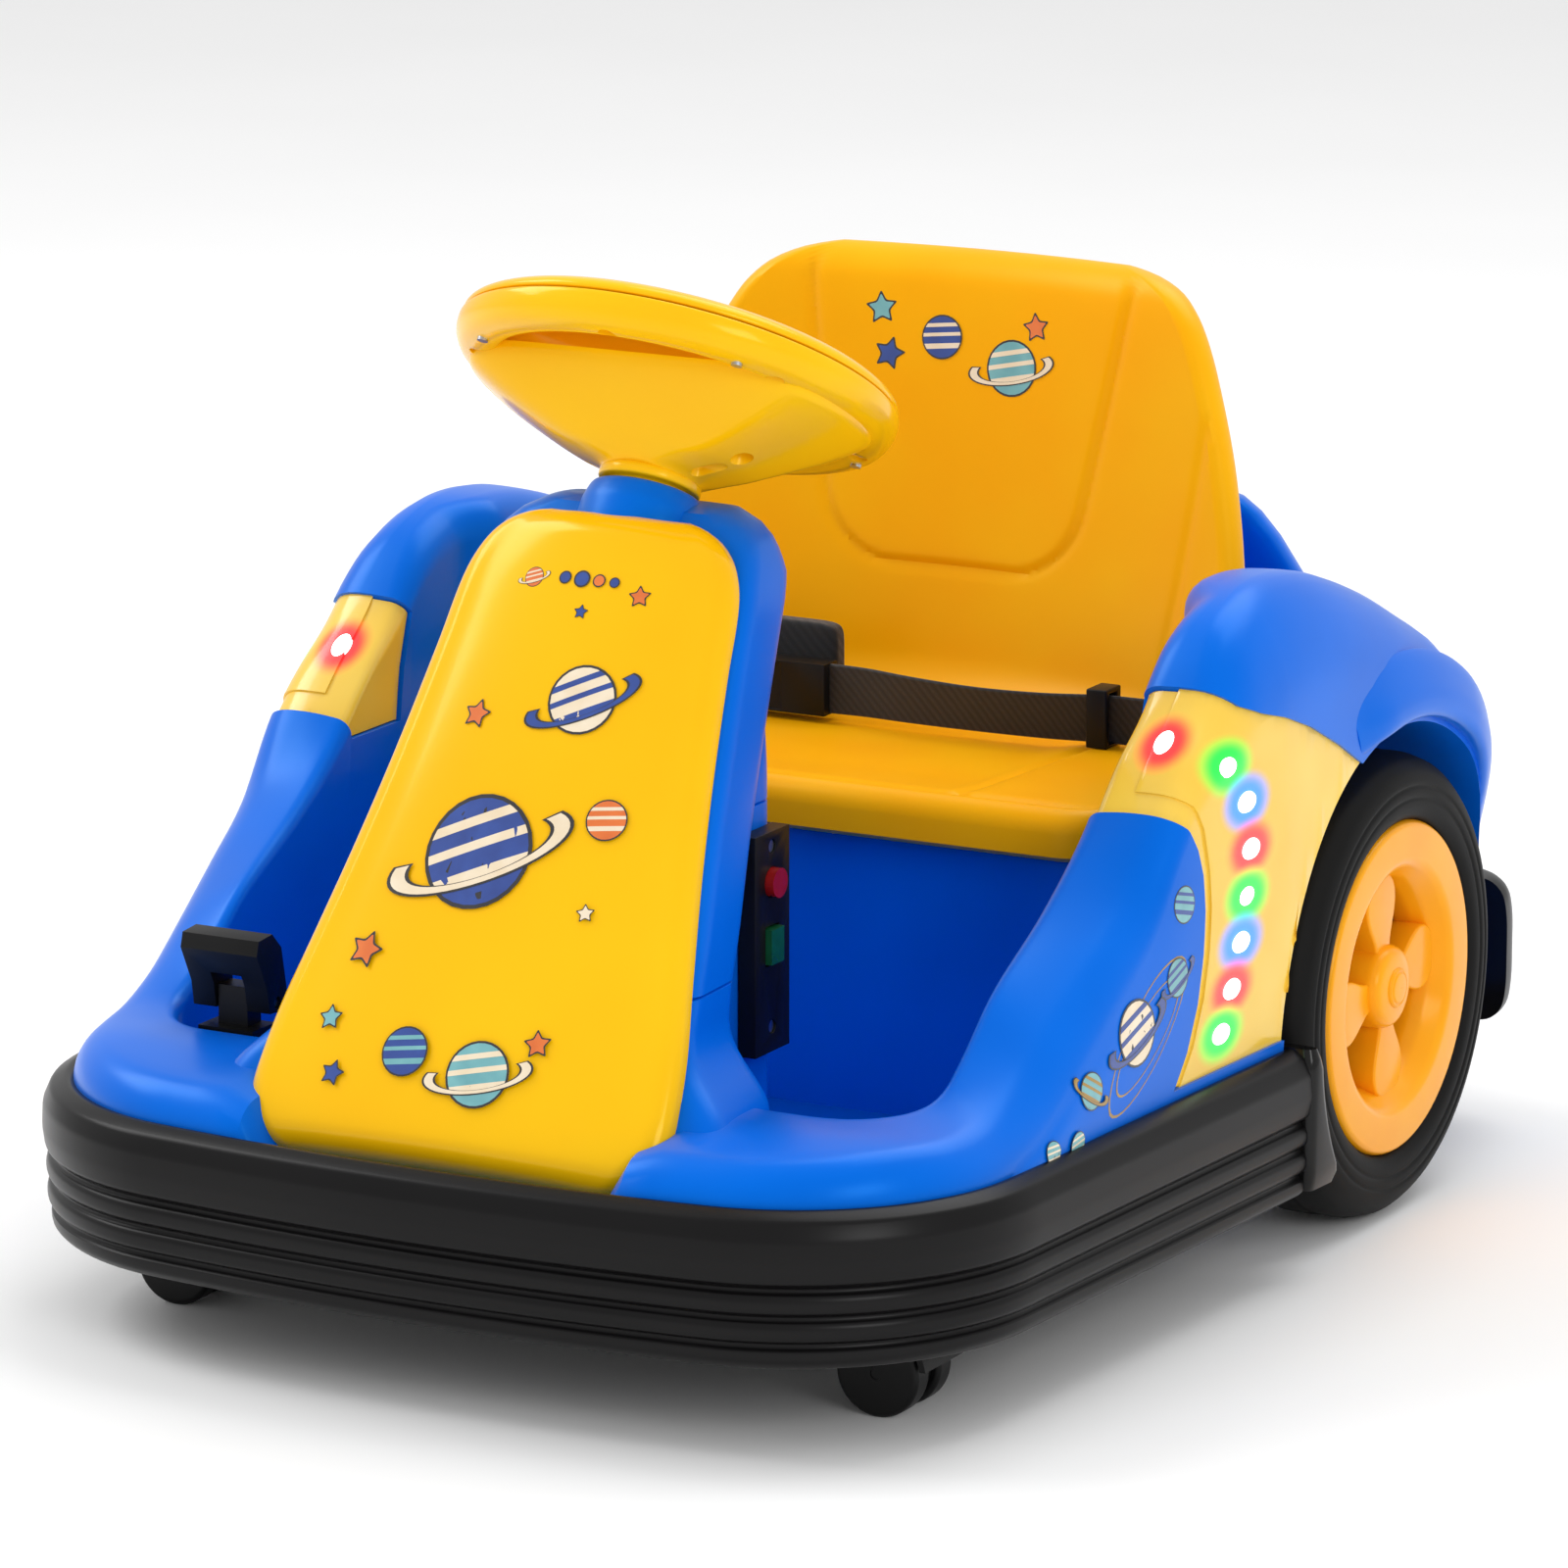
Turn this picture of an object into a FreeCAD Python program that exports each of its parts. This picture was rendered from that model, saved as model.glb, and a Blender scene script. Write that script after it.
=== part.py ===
import FreeCAD, Part
import math
import os
import re

import Sketcher
from FreeCAD import Placement, Rotation, Vector

# Battery ride-on bumper car for a small child. Millimetres, +Z up, the front towards -Y, the driver's
# left towards +X. The origin is on the floor under the middle of the car.

DRIVING_SIZES = (
    # whole car and its plan outline
    ("half_length", 360), ("half_width", 270), ("corner_x", 130), ("corner_y", -225),
    ("corner_radius", 127), ("flank_end_y", 31), ("tail_corner", 90),
    # clearances and walls
    ("seat_gap", 0.3), ("running_gap", 0.05), ("shell_wall", 3),
    # bumpers
    ("bumper_top", 115), ("bumper_bottom", 42), ("bumper_wall", 18), ("clip_length", 9),
    ("tail_bumper_half", 240), ("tail_bumper_depth", 36), ("tail_bumper_low", 57),
    ("tail_bumper_high", 131), ("tail_bumper_corner", 40),
    # chassis
    ("floor_low", 58), ("floor_thick", 4), ("rim_height", 50), ("rear_half", 186), ("bracket_thick", 6),
    # body
    ("body_inset", 15), ("cockpit_half", 200), ("cockpit_front", -255), ("cockpit_rear", -5),
    ("cockpit_corner", 34), ("seat_base", 207), ("seat_base_half", 190),
    ("arch_radius", 127), ("well_inner", 190),
    # tower and hood
    ("hood_foot_y", -322), ("hood_foot_z", 105), ("hood_run", 0.5145),
    ("hood_edge", 9), ("hood_dome", 7), ("band_depth", 44), ("seam_height", 187), ("column_height", 255),
    ("column_half", 78), ("column_back", -150), ("tower_top", 384),
    # steering
    ("steer_y", -102), ("steer_z", 440), ("steer_tilt", 30), ("steer_radius", 106),
    ("steer_tube", 11), ("neck_radius", 20), ("neck_drop", 52), ("shaft_radius", 6), ("collar_drop", 74),
    ("collar_radius", 27), ("collar_height", 27),
    # running gear
    ("axle_y", 160), ("tyre_radius", 115), ("tyre_width", 58), ("tyre_outer_x", 257),
    ("rim_radius", 83), ("window_radius", 59), ("hub_radius", 20), ("axle_radius", 5),
    ("gear_module", 1.5), ("pinion_teeth", 12), ("output_teeth", 48), ("gear_width", 9), ("gear_x", 172),
    ("sleeve_radius", 12), ("motor_radius", 18), ("motor_length", 56), ("motor_shaft_radius", 2),
    ("gearbox_wall", 3), ("gearbox_inner_x", 163), ("gearbox_outer_x", 185),
    # casters
    ("caster_x", 176), ("caster_y", -240), ("caster_trail", 12), ("caster_wheel_radius", 21),
    ("caster_wheel_width", 13), ("caster_web", 8), ("caster_stem_radius", 5), ("caster_pin_radius", 3),
    # seat
    ("pan_half", 186), ("pan_front", -32), ("pan_thick", 25), ("back_thick", 18),
    # controls
    ("panel_low", 139), ("panel_high", 244), ("panel_front", -187), ("panel_back", -154),
    ("panel_depth", 9), ("button_radius", 7), ("button_travel", 3), ("rocker_length", 18),
    ("pedal_x", -160), ("pedal_y", -240), ("pedal_width", 42), ("pedal_pin_radius", 3),
    ("pedal_pin_z", 150),
    # lap belt
    ("web_width", 25), ("web_thick", 2),
    # charging socket
    ("socket_x", -122), ("socket_z", 165), ("plug_radius", 2.8), ("jack_radius", 6),
)

doc = FreeCAD.newDocument("bumper_car")
sheet = doc.addObject("Spreadsheet::Sheet", "Sizes")
for row, (alias, value) in enumerate(DRIVING_SIZES, start=1):
    sheet.set(f"A{row}", alias)
    sheet.set(f"B{row}", str(value))
    sheet.setAlias(f"B{row}", alias)
doc.recompute()

ALIASES = {alias for alias, _ in DRIVING_SIZES}
subparts = []


def size(alias):
    """The value of one driving dimension, read from the sheet."""
    return float(sheet.get(alias))


def cells(text):
    """An expression's text with every driving dimension written as its sheet cell."""
    return re.sub(r"[a-z_]+", lambda word: f"Sizes.{word[0]}" if word[0] in ALIASES else word[0], str(text))


def bind(item, **sizes):
    """Bind properties of an object to expressions over the sheet."""
    for name, text in sizes.items():
        item.setExpression(name, cells(text))


def place(item, x, y, z, rotation=None):
    """Put an object at a point whose coordinates are expressions over the sheet."""
    item.Placement = Placement(Vector(0, 0, 0), rotation or Rotation())
    for axis, text in zip("xyz", (x, y, z)):
        item.setExpression(f"Placement.Base.{axis}", cells(text))


def keep(item, label):
    """Give a finished sub-part its own name and list it for writing."""
    item.Label = label
    subparts.append(item)
    return item


def box(name, corner, sides):
    item = doc.addObject("Part::Box", name)
    bind(item, Length=sides[0], Width=sides[1], Height=sides[2])
    place(item, *corner)
    return item


ALONG_X = Rotation(Vector(0, 1, 0), 90)
ALONG_Y = Rotation(Vector(1, 0, 0), -90)


def cylinder(name, foot, radius, length, rotation=None):
    item = doc.addObject("Part::Cylinder", name)
    bind(item, Radius=radius, Height=length)
    place(item, *foot, rotation)
    return item


def cut(name, base, *tools):
    for number, tool in enumerate(tools):
        result = doc.addObject("Part::Cut", name if number == len(tools) - 1 else f"{name}_step{number}")
        result.Base = base
        result.Tool = tool
        base = result
    return base


def fuse(name, *pieces):
    item = doc.addObject("Part::MultiFuse", name)
    item.Shapes = list(pieces)
    return item


def group(name, *pieces):
    """Identical pieces that share a node and stay separate solids."""
    item = doc.addObject("Part::Compound", name)
    item.Links = list(pieces)
    return item


def formed(name, shape):
    """A sub-part whose form is a shell or a loft, made from the sheet's sizes."""
    item = doc.addObject("Part::Feature", name)
    item.Shape = shape
    return keep(item, name)


def rect_wire(x0, x1, y0, y1, z):
    return Part.makePolygon([Vector(x, y, z) for x, y in
                             ((x0, y0), (x1, y0), (x1, y1), (x0, y1), (x0, y0))])


def taper_wire(front_half, back_half, front, back, z):
    return Part.makePolygon([Vector(x, y, z) for x, y in
                             ((-front_half, front), (front_half, front), (back_half, back),
                              (-back_half, back), (-front_half, front))])


def block(x0, x1, y0, y1, z0, z1):
    return Part.makeBox(x1 - x0, y1 - y0, z1 - z0, Vector(x0, y0, z0))


def disc(radius, x0, x1, y, z):
    return Part.makeCylinder(radius, x1 - x0, Vector(x0, y, z), Vector(1, 0, 0))


def mirrored(shape):
    return shape.mirror(Vector(0, 0, 0), Vector(1, 0, 0))


def tail_y():
    """Where the body ends, against the rear bumper."""
    return size("half_length") - size("tail_bumper_depth") - size("seat_gap")


# ---------------------------------------------------------------- plan outline

def flank_lean():
    """Angle by which each flank spreads towards the rear."""
    across = size("half_width") - size("corner_x")
    along = size("flank_end_y") - size("corner_y")
    return math.acos(size("corner_radius") / math.hypot(across, along)) - math.atan2(along, across)


def flank_x(inset, y):
    """Half width of the outline, moved in by inset, at a point along the flank."""
    lean = flank_lean()
    reach = size("corner_radius") - inset + math.sin(lean) * (y - size("corner_y"))
    return size("corner_x") + reach / math.cos(lean)


def nose_points(inset):
    """Points of the nose from the left flank's start to the right one's: arcs share every third point."""
    cx, cy, radius = size("corner_x"), size("corner_y"), size("corner_radius")
    rise = cy + size("half_length")
    bow = (rise ** 2 + cx ** 2 - radius ** 2) / (2 * (rise - radius))
    bow_y = bow - size("half_length")
    aim = math.atan2(cy - bow_y, cx)
    lean = -flank_lean()
    start = Vector(cx + (radius - inset) * math.cos(lean), cy + (radius - inset) * math.sin(lean), 0)
    middle_angle = (aim + lean) / 2
    middle = Vector(cx + (radius - inset) * math.cos(middle_angle),
                    cy + (radius - inset) * math.sin(middle_angle), 0)
    end = Vector((bow - inset) * math.cos(aim), bow_y + (bow - inset) * math.sin(aim), 0)
    nose = Vector(0, inset - size("half_length"), 0)
    right = [Vector(-p.x, p.y, 0) for p in (end, middle, start)]
    return [start, middle, end, nose] + right


def nose_edges(inset, end_y, z):
    """Left flank, corner, bowed nose, corner and right flank as five edges."""
    points = nose_points(inset)
    left = Vector(flank_x(inset, end_y), end_y, 0)
    right = Vector(-left.x, end_y, 0)
    edges = [Part.makeLine(left, points[0]), Part.Arc(*points[0:3]).toShape(),
             Part.Arc(points[2], points[3], points[4]).toShape(),
             Part.Arc(*points[4:7]).toShape(), Part.makeLine(points[6], right)]
    for edge in edges:
        edge.translate(Vector(0, 0, z))
    return edges


def nose_face(inset, end_y, z):
    """The plan area ahead of end_y."""
    edges = nose_edges(inset, end_y, z)
    left = edges[0].Vertexes[0].Point
    right = Vector(-left.x, left.y, left.z)
    return Part.Face(Part.Wire(edges + [Part.makeLine(right, left)]))


def plan_prism(inset, z0, z1):
    """The whole car's plan, nose to tail, moved in by inset and stood up from z0 to z1."""
    end_y = size("flank_end_y")
    nose = nose_face(inset, end_y, z0)
    side = flank_x(inset, end_y)
    tail = tail_y() - (inset - size("body_inset"))
    corner = size("tail_corner") - (inset - size("body_inset"))
    flat_y = tail - corner
    bend = corner * math.sqrt(0.5)
    left = [Vector(side, end_y, z0), Vector(side, flat_y, z0),
            Vector(side - corner + bend, flat_y + bend, z0), Vector(side - corner, tail, z0)]
    right = [Vector(-p.x, p.y, z0) for p in left]
    edges = [Part.makeLine(left[0], left[1]), Part.Arc(left[1], left[2], left[3]).toShape(),
             Part.makeLine(left[3], right[3]), Part.Arc(right[3], right[2], right[1]).toShape(),
             Part.makeLine(right[1], right[0]), Part.makeLine(right[0], left[0])]
    rear = Part.Face(Part.Wire(edges))
    up = Vector(0, 0, z1 - z0)
    return nose.extrude(up).fuse(rear.extrude(up)).removeSplitter()


# ---------------------------------------------------------------- bumpers

# Height on the front bumper, and how far its face stands in from the widest line.
BUMPER_FACE = ((115, 14), (113, 8), (108, 3), (102, 0), (92, 0), (83, 2), (80, 5), (77, 2.5), (70, 2.5),
               (67, 5.5), (64, 3), (58, 3), (55, 6), (52, 3.5), (47, 4.5), (42, 8))


def band_wire(outer, inner, end_y, z):
    """A closed U of the bumper: its face moved in by outer, its back by inner."""
    face = nose_edges(outer, end_y, z)
    back = nose_edges(inner, end_y, z)
    ends = [Part.makeLine(face[-1].Vertexes[-1].Point, back[-1].Vertexes[-1].Point),
            Part.makeLine(back[0].Vertexes[0].Point, face[0].Vertexes[0].Point)]
    return Part.Wire(Part.__sortEdges__(face + [ends[0]] + back + [ends[1]]))


def front_bumper():
    sections = [band_wire(inset, size("bumper_wall"), size("flank_end_y"), z) for z, inset in BUMPER_FACE]
    formed("front_bumper", Part.makeLoft(sections, True, True))


def bumper_end_clips():
    """Caps over the bumper's two cut ends, hollowed round the front of each rear tyre."""
    start = size("flank_end_y") + size("seat_gap")
    clips = []
    for side in (1, -1):
        outer = flank_x(0, start)
        inner = flank_x(size("bumper_wall"), start)
        cap = block(inner - 30, outer, start, start + size("clip_length") + 12, size("bumper_bottom") + 3,
                    size("bumper_top"))
        cap = cap.cut(disc(size("tyre_radius") + 3, 0, 400, size("axle_y"), size("tyre_radius")))
        clips.append(cap if side == 1 else mirrored(cap))
    formed("bumper_end_clips", Part.makeCompound(clips))


def rear_bumper():
    """D-section bar across the tail, its ends turned forward."""
    half, depth, corner = size("tail_bumper_half"), size("tail_bumper_depth"), size("tail_bumper_corner")
    low, high = size("tail_bumper_low"), size("tail_bumper_high")
    back = size("half_length")

    def section(inset, z):
        wire = rect_wire(inset - half, half - inset, back - depth + 0.001, back - inset, z)
        face = Part.Face(wire).extrude(Vector(0, 0, 1))
        edges = [e for e in face.Edges if abs(e.Vertexes[0].Z - e.Vertexes[-1].Z) > 0.5
                 and e.Vertexes[0].Y > back - depth + 1]
        rounded = face.makeFillet(min(corner - inset, depth - inset - 1), edges)
        ring = [f for f in rounded.Faces if abs(f.CenterOfMass.z - z) < 1e-6][0].OuterWire
        return ring

    profile = ((low, 14), (low + 5, 7), (low + 14, 2), (low + 26, 0), (high - 26, 0), (high - 14, 2),
               (high - 5, 7), (high, 14))
    bar = Part.makeLoft([section(inset, z) for z, inset in profile], True, True)
    groove = block(5 - half + 25, half - 30, back - depth - 1, back - depth + 8, low + 20, high - 20)
    formed("rear_bumper", bar.cut(groove))


# ---------------------------------------------------------------- chassis

def chassis_base():
    """Floor pan with a rim behind the bumper, axle brackets, caster sockets and gearbox seats."""
    low, thick, wall = size("floor_low"), size("floor_thick"), size("shell_wall")
    inset = size("bumper_wall") + size("seat_gap")
    top = low + thick
    end_y = size("flank_end_y")
    pan = nose_face(inset, end_y, low).extrude(Vector(0, 0, size("rim_height")))
    hollow = nose_face(inset + wall, end_y - wall, top).extrude(Vector(0, 0, size("rim_height")))
    pan = pan.cut(hollow)
    half = size("rear_half")
    tail = tail_y() - wall - size("seat_gap")
    pan = pan.cut(block(half - 40, 400, end_y - wall - 1, end_y + 1, top, 200))
    pan = pan.cut(block(-400, 40 - half, end_y - wall - 1, end_y + 1, top, 200))
    pan = pan.cut(block(-half, half, end_y - wall - 1, end_y + 1, top, 200))
    rear = block(-half, half, end_y - wall - 1, tail, low, top)
    tail_wall = block(24 - half, half - 24, tail - wall, tail, low, size("tail_bumper_high") - 8)
    chassis = pan.fuse([rear, tail_wall])
    thickness = size("bracket_thick")
    bracket_x = size("gearbox_inner_x") - size("motor_length") - 2 * thickness
    for side in (1, -1):
        plate = block(side * bracket_x - thickness / 2, side * bracket_x + thickness / 2,
                      size("axle_y") - 22, size("axle_y") + 22, low + 1, size("tyre_radius") + 16)
        chassis = chassis.fuse(plate)
        seat = block(side * 174 - 10, side * 174 + 10, size("axle_y") - 40, size("axle_y") + 40, low + 1,
                     size("tyre_radius") - gearbox_half_height() - size("seat_gap"))
        chassis = chassis.fuse(seat)
        socket = Part.makeCylinder(14, thick + 6, Vector(side * size("caster_x"), size("caster_y"), low - 6))
        chassis = chassis.fuse(socket)
    chassis = chassis.cut(disc(size("axle_radius") + size("running_gap"), -400, 400, size("axle_y"),
                               size("tyre_radius")))
    for side in (1, -1):
        hole = Part.makeCylinder(size("caster_stem_radius") + size("running_gap"), 40,
                                 Vector(side * size("caster_x"), size("caster_y"), low - 10))
        chassis = chassis.cut(hole)
    formed("chassis_base", chassis.removeSplitter())


# ---------------------------------------------------------------- body

# Side view of the walls from the nose over the entry dip, the lobe and the fender: (y, z).
WALL_TOP = ((-348, 117), (-300, 133), (-250, 141), (-195, 143), (-150, 170), (-110, 206), (-84, 241),
            (-62, 257), (-42, 266), (-24, 283), (-6, 309), (30, 330), (80, 333), (163, 308), (225, 272),
            (262, 234), (283, 190), (290, 135))


def wall_profile(inset, z_low):
    """Side view of the walls as a face at x = 0, its top lowered by inset."""
    points = []
    count = len(WALL_TOP)
    for number, (y, z) in enumerate(WALL_TOP):
        before = WALL_TOP[max(number - 1, 0)]
        after = WALL_TOP[min(number + 1, count - 1)]
        run, rise = after[0] - before[0], after[1] - before[1]
        length = math.hypot(run, rise)
        points.append(Vector(0, y + inset * rise / length, z - inset * run / length))
    curve = Part.BSplineCurve()
    curve.interpolate(points)
    top = curve.toShape()
    first, last = points[0], points[-1]
    corners = [last, Vector(0, last.y, z_low), Vector(0, first.y, z_low), first]
    lines = [Part.makeLine(a, b) for a, b in zip(corners[:-1], corners[1:])]
    return Part.Face(Part.Wire([top] + lines))


def body_mass(inset):
    """The walls, fenders and seat base as one solid, every outer face moved in by inset."""
    low = size("bumper_top") + size("seat_gap")
    base_low = size("floor_low") + size("floor_thick") + size("seat_gap")
    wide = size("half_width")
    open_low = 5 if inset else 0
    plan = plan_prism(size("body_inset") + inset, base_low - open_low, 400)
    walls = wall_profile(inset, low - open_low).extrude(Vector(2 * wide, 0, 0))
    walls.translate(Vector(-wide, 0, 0))
    half = size("seat_base_half")
    saddle = block(-half - inset, half + inset, size("cockpit_rear") - 60, 400, size("seat_base") - inset, 420)
    base = block(-wide, wide, size("cockpit_rear") - 20, 400, base_low - open_low, size("seat_base") - inset)
    base = base.cut(block(half - inset, wide, -400, 292 + inset, 0, 400))
    base = base.cut(block(-wide, inset - half, -400, 292 + inset, 0, 400))
    tail_corner = block(-wide, wide, 240, 400, size("seat_base") - 45 - inset, 420)
    base = base.cut(tail_corner.cut(block(inset - half, half - inset, 0, 400, 0, 420)))
    return plan.common(walls.cut(saddle).fuse(base))


def cockpit(grow):
    """The space for the driver's legs, grown by one wall for the outside of its liner."""
    half, front, rear = size("cockpit_half") + grow, size("cockpit_front") - grow, size("cockpit_rear") + grow
    floor = size("floor_low") + size("floor_thick") + size("seat_gap") + size("shell_wall") - grow
    space = block(-half, half, front, rear, floor, 420)
    edges = [e for e in space.Edges if abs(e.Vertexes[0].Z - e.Vertexes[-1].Z) > 10
             and e.Vertexes[0].Y < front + 1]
    return space.makeFillet(size("cockpit_corner") + grow, edges)


def ruled_tower(sections):
    """A solid through level trapezoids: (half width in front, half width behind, front, back, z)."""
    return Part.makeLoft([taper_wire(*section) for section in sections], True, True)


def hood_line(z):
    """Where the tower's front face stands at height z."""
    run = size("hood_run")
    return size("hood_foot_y") + (z - size("hood_foot_z")) * run / math.sqrt(1 - run ** 2)


# Height on the tower, and the half width of its front and of its band's rear edge.
TOWER_WIDTHS = ((62, 104, 100), (187, 101, 97), (250, 90, 83), (289, 84, 77), (350, 76, 68), (384, 60, 54))


def tower_band(inset):
    """The wide front of the tower, which carries the hood."""
    depth, slant = size("band_depth"), 1.17
    rows = []
    for z, front_half, back_half in TOWER_WIDTHS:
        level = min(z, size("tower_top") - inset)
        rows.append((front_half - inset, back_half - inset, hood_line(level) + inset * slant,
                     hood_line(level) + depth - inset * slant, level))
    return ruled_tower(rows)


def tower_column(inset):
    """The narrower rear of the tower, which carries the switches."""
    half, back, top = size("column_half") - inset, size("column_back") - inset, size("tower_top") - inset
    rows = ((half, half, hood_line(62) + 25 + inset, back, 62), (half, half, hood_line(260) + 25 + inset, back, 260),
            (half - 16, half - 18, hood_line(350) + 20, back + 20, 350),
            (half - 26, half - 28, hood_line(top) + 15, back + 34, top))
    return ruled_tower(rows)


def tower_foot(inset, extra):
    """The part of the tower that belongs to the body, up to the seams."""
    below_seam = block(-200, 200, -400, 0, 0, size("seam_height") + extra)
    below_column = block(-200, 200, -400, 0, 0, size("column_height") + extra)
    return tower_band(inset).common(below_seam).fuse(tower_column(inset).common(below_column))


def wheel_wells(grow):
    radius, inner = size("arch_radius") + grow, size("well_inner") - grow
    axle_y, axle_z = size("axle_y"), size("tyre_radius")
    well = disc(radius, inner, 400, axle_y, axle_z)
    well = well.fuse(block(inner, 400, axle_y - radius, axle_y + radius, -10, axle_z))
    return well.fuse(mirrored(well))


# Edge of each side light panel in side view, from the foot up behind the lobe and over to the arch.
LIGHT_EDGE = ((-56, 121), (-44, 150), (-34, 180), (-31, 212), (-40, 240), (-58, 268), (-60, 300),
              (-24, 296), (10, 285), (57, 268), (118, 240))


def light_zone(grow):
    """The side light panel's region, grown by a gap, on the driver's left."""
    inner, middle = size("cockpit_half") + 4 - grow, size("seat_base")
    points = [Vector(inner, y - 2 * grow, z + grow if z > middle else z - grow) for y, z in LIGHT_EDGE]
    foot = Vector(points[0].x, size("axle_y"), points[0].z)
    last = Vector(points[0].x, size("axle_y"), points[-1].z)
    wire = Part.makePolygon(points + [last, foot, points[0]])
    return Part.Face(wire).extrude(Vector(100, 0, 0))


def hood_axes():
    """The hood's foot, its upward direction and its outward normal."""
    run = size("hood_run")
    rise = math.sqrt(1 - run ** 2)
    foot = Vector(0, size("hood_foot_y"), size("hood_foot_z"))
    return foot, Vector(0, run, rise), Vector(0, -rise, run)


# Distance up the hood from its foot, and the hood's half width there.
HOOD_WIDTHS = ((0, 96), (10, 104), (28, 109), (60, 107), (100, 98), (150, 89), (200, 81.5), (250, 75),
               (285, 70), (302, 60), (313, 42))


def hood_section(distance, half, edge, dome, grow):
    foot, up, normal = hood_axes()
    base = foot + up * distance + normal * size("seat_gap")
    low = -2 * grow
    side = half + grow
    left, right = Vector(side, 0, 0), Vector(-side, 0, 0)
    corners = [base + left + normal * low, base + left + normal * edge, base + right + normal * edge,
               base + right + normal * low]
    crown = base + normal * (edge + dome)
    return Part.Wire([Part.makeLine(corners[0], corners[1]),
                      Part.Arc(corners[1], crown, corners[2]).toShape(),
                      Part.makeLine(corners[2], corners[3]), Part.makeLine(corners[3], corners[0])])


def hood_solid(grow):
    edge, dome = size("hood_edge"), size("hood_dome")
    sections = []
    for distance, half in HOOD_WIDTHS:
        thin = 0.55 if distance in (HOOD_WIDTHS[0][0], HOOD_WIDTHS[-1][0]) else 1
        sections.append(hood_section(distance, half, edge * thin + 40 * (grow > 0), dome * thin, grow))
    return Part.makeLoft(sections, True, True)


def hood_panel():
    """Thin moulded cover, open at the back, that stands on the tower's front."""
    wall = size("shell_wall")
    inner = []
    for distance, half in HOOD_WIDTHS[1:-1]:
        inner.append(hood_section(distance, half - wall, size("hood_edge") - wall, size("hood_dome"), 0.5))
    formed("hood_panel", hood_solid(0).cut(Part.makeLoft(inner, True, True)))


def bumper_zone():
    """Space kept for the front bumper and the chassis rim inside it."""
    inset = size("bumper_wall") + size("shell_wall") + 2 * size("seat_gap")
    top = size("bumper_top") + size("seat_gap")
    end_y = size("flank_end_y") + size("seat_gap")
    zone = block(-400, 400, -400, end_y, 0, top)
    return zone.cut(nose_face(inset, end_y, 0).extrude(Vector(0, 0, top)))


def body_shell():
    """Front deck, walls, fenders, footwells, tower foot and seat base as one thin-walled moulding."""
    wall = size("shell_wall")
    mass = body_mass(0).fuse(tower_foot(0, 0))
    inside = body_mass(wall).fuse(tower_foot(wall, 200))
    liner = cockpit(wall).cut(tower_foot(wall, 200))
    space = cockpit(0).cut(tower_foot(0, 200))
    inside = inside.cut(liner).cut(wheel_wells(wall))
    shell = mass.cut(inside).cut(space).cut(wheel_wells(0))
    zone = light_zone(size("seat_gap"))
    shell = shell.cut(zone).cut(mirrored(zone))
    shell = shell.cut(hood_solid(size("seat_gap"))).cut(bumper_zone())
    for side in (1, -1):
        shell = shell.cut(disc(size("sleeve_radius") + 1, side * size("well_inner") - 10,
                               side * size("well_inner") + 10, size("axle_y"), size("tyre_radius")))
    solids = sorted(shell.Solids, key=lambda solid: solid.Volume)
    formed("body_shell", solids[-1])


def light_panels():
    """Translucent panels that close the walls between each lobe and its wheel arch."""
    wall = size("shell_wall")
    skin = body_mass(0).cut(body_mass(wall)).cut(wheel_wells(size("seat_gap")))
    panel = skin.common(light_zone(0))
    panel = sorted(panel.Solids, key=lambda solid: solid.Volume)[-1]
    formed("light_panel_left", panel)
    formed("light_panel_right", mirrored(panel))


# Lamps down each light panel, from the lobe's top to the foot: (y, z).
LAMPS = ((-33, 256), (-9, 248), (6, 230), (8, 209), (4, 188), (-2, 167), (-10, 147), (-18, 126))


def lamps():
    """Round lamps on a board inside each light panel, each as long as the space to the panel."""
    inset, gap = size("body_inset") + size("shell_wall"), size("seat_gap")
    board_face = flank_x(inset, LAMPS[0][0]) - 8
    lenses = []
    for y, z in LAMPS:
        lens = disc(5, board_face + gap, flank_x(inset, y - 5) - gap, y, z + 4)
        lenses.extend([lens, mirrored(lens)])
    formed("lamps", Part.makeCompound(lenses))
    board = block(board_face - 2, board_face, -40, 14, 122, 262)
    formed("lamp_boards", Part.makeCompound([board, mirrored(board)]))


def tower_shell():
    """Upper cover of the steering column, standing on the body's seam."""
    wall, gap = size("shell_wall"), size("seat_gap")
    above = block(-200, 200, -400, 0, size("seam_height") + gap, 420)
    column_above = block(-200, 200, -400, 0, size("column_height") + gap, 420)
    outer = tower_band(0).common(above).fuse(tower_column(0).common(column_above))
    inner = tower_band(wall).fuse(tower_column(wall))
    foot = tower_foot(-gap, gap)
    shell = outer.cut(inner).cut(foot)
    shell = shell.cut(steer_cylinder(size("shaft_radius") + 9, -140, 20))
    solids = sorted(shell.Solids, key=lambda solid: solid.Volume)
    formed("tower_shell", solids[-1])


# ---------------------------------------------------------------- steering

def steer_axis():
    """The steering wheel's centre and the direction of its column."""
    tilt = math.radians(size("steer_tilt"))
    return Vector(0, size("steer_y"), size("steer_z")), Vector(0, math.sin(tilt), math.cos(tilt))


def steer_cylinder(radius, start, end):
    centre, axis = steer_axis()
    return Part.makeCylinder(radius, end - start, centre + axis * start, axis)


def steer_turned(profile):
    """A solid turned about the column from (radius, height) points."""
    points = [Vector(r, 0, h) for r, h in profile]
    face = Part.Face(Part.makePolygon(points + [points[0]]))
    solid = face.revolve(Vector(0, 0, 0), Vector(0, 0, 1), 360)
    centre, _ = steer_axis()
    solid.Placement = Placement(centre, Rotation(Vector(1, 0, 0), -size("steer_tilt")))
    return solid


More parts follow.
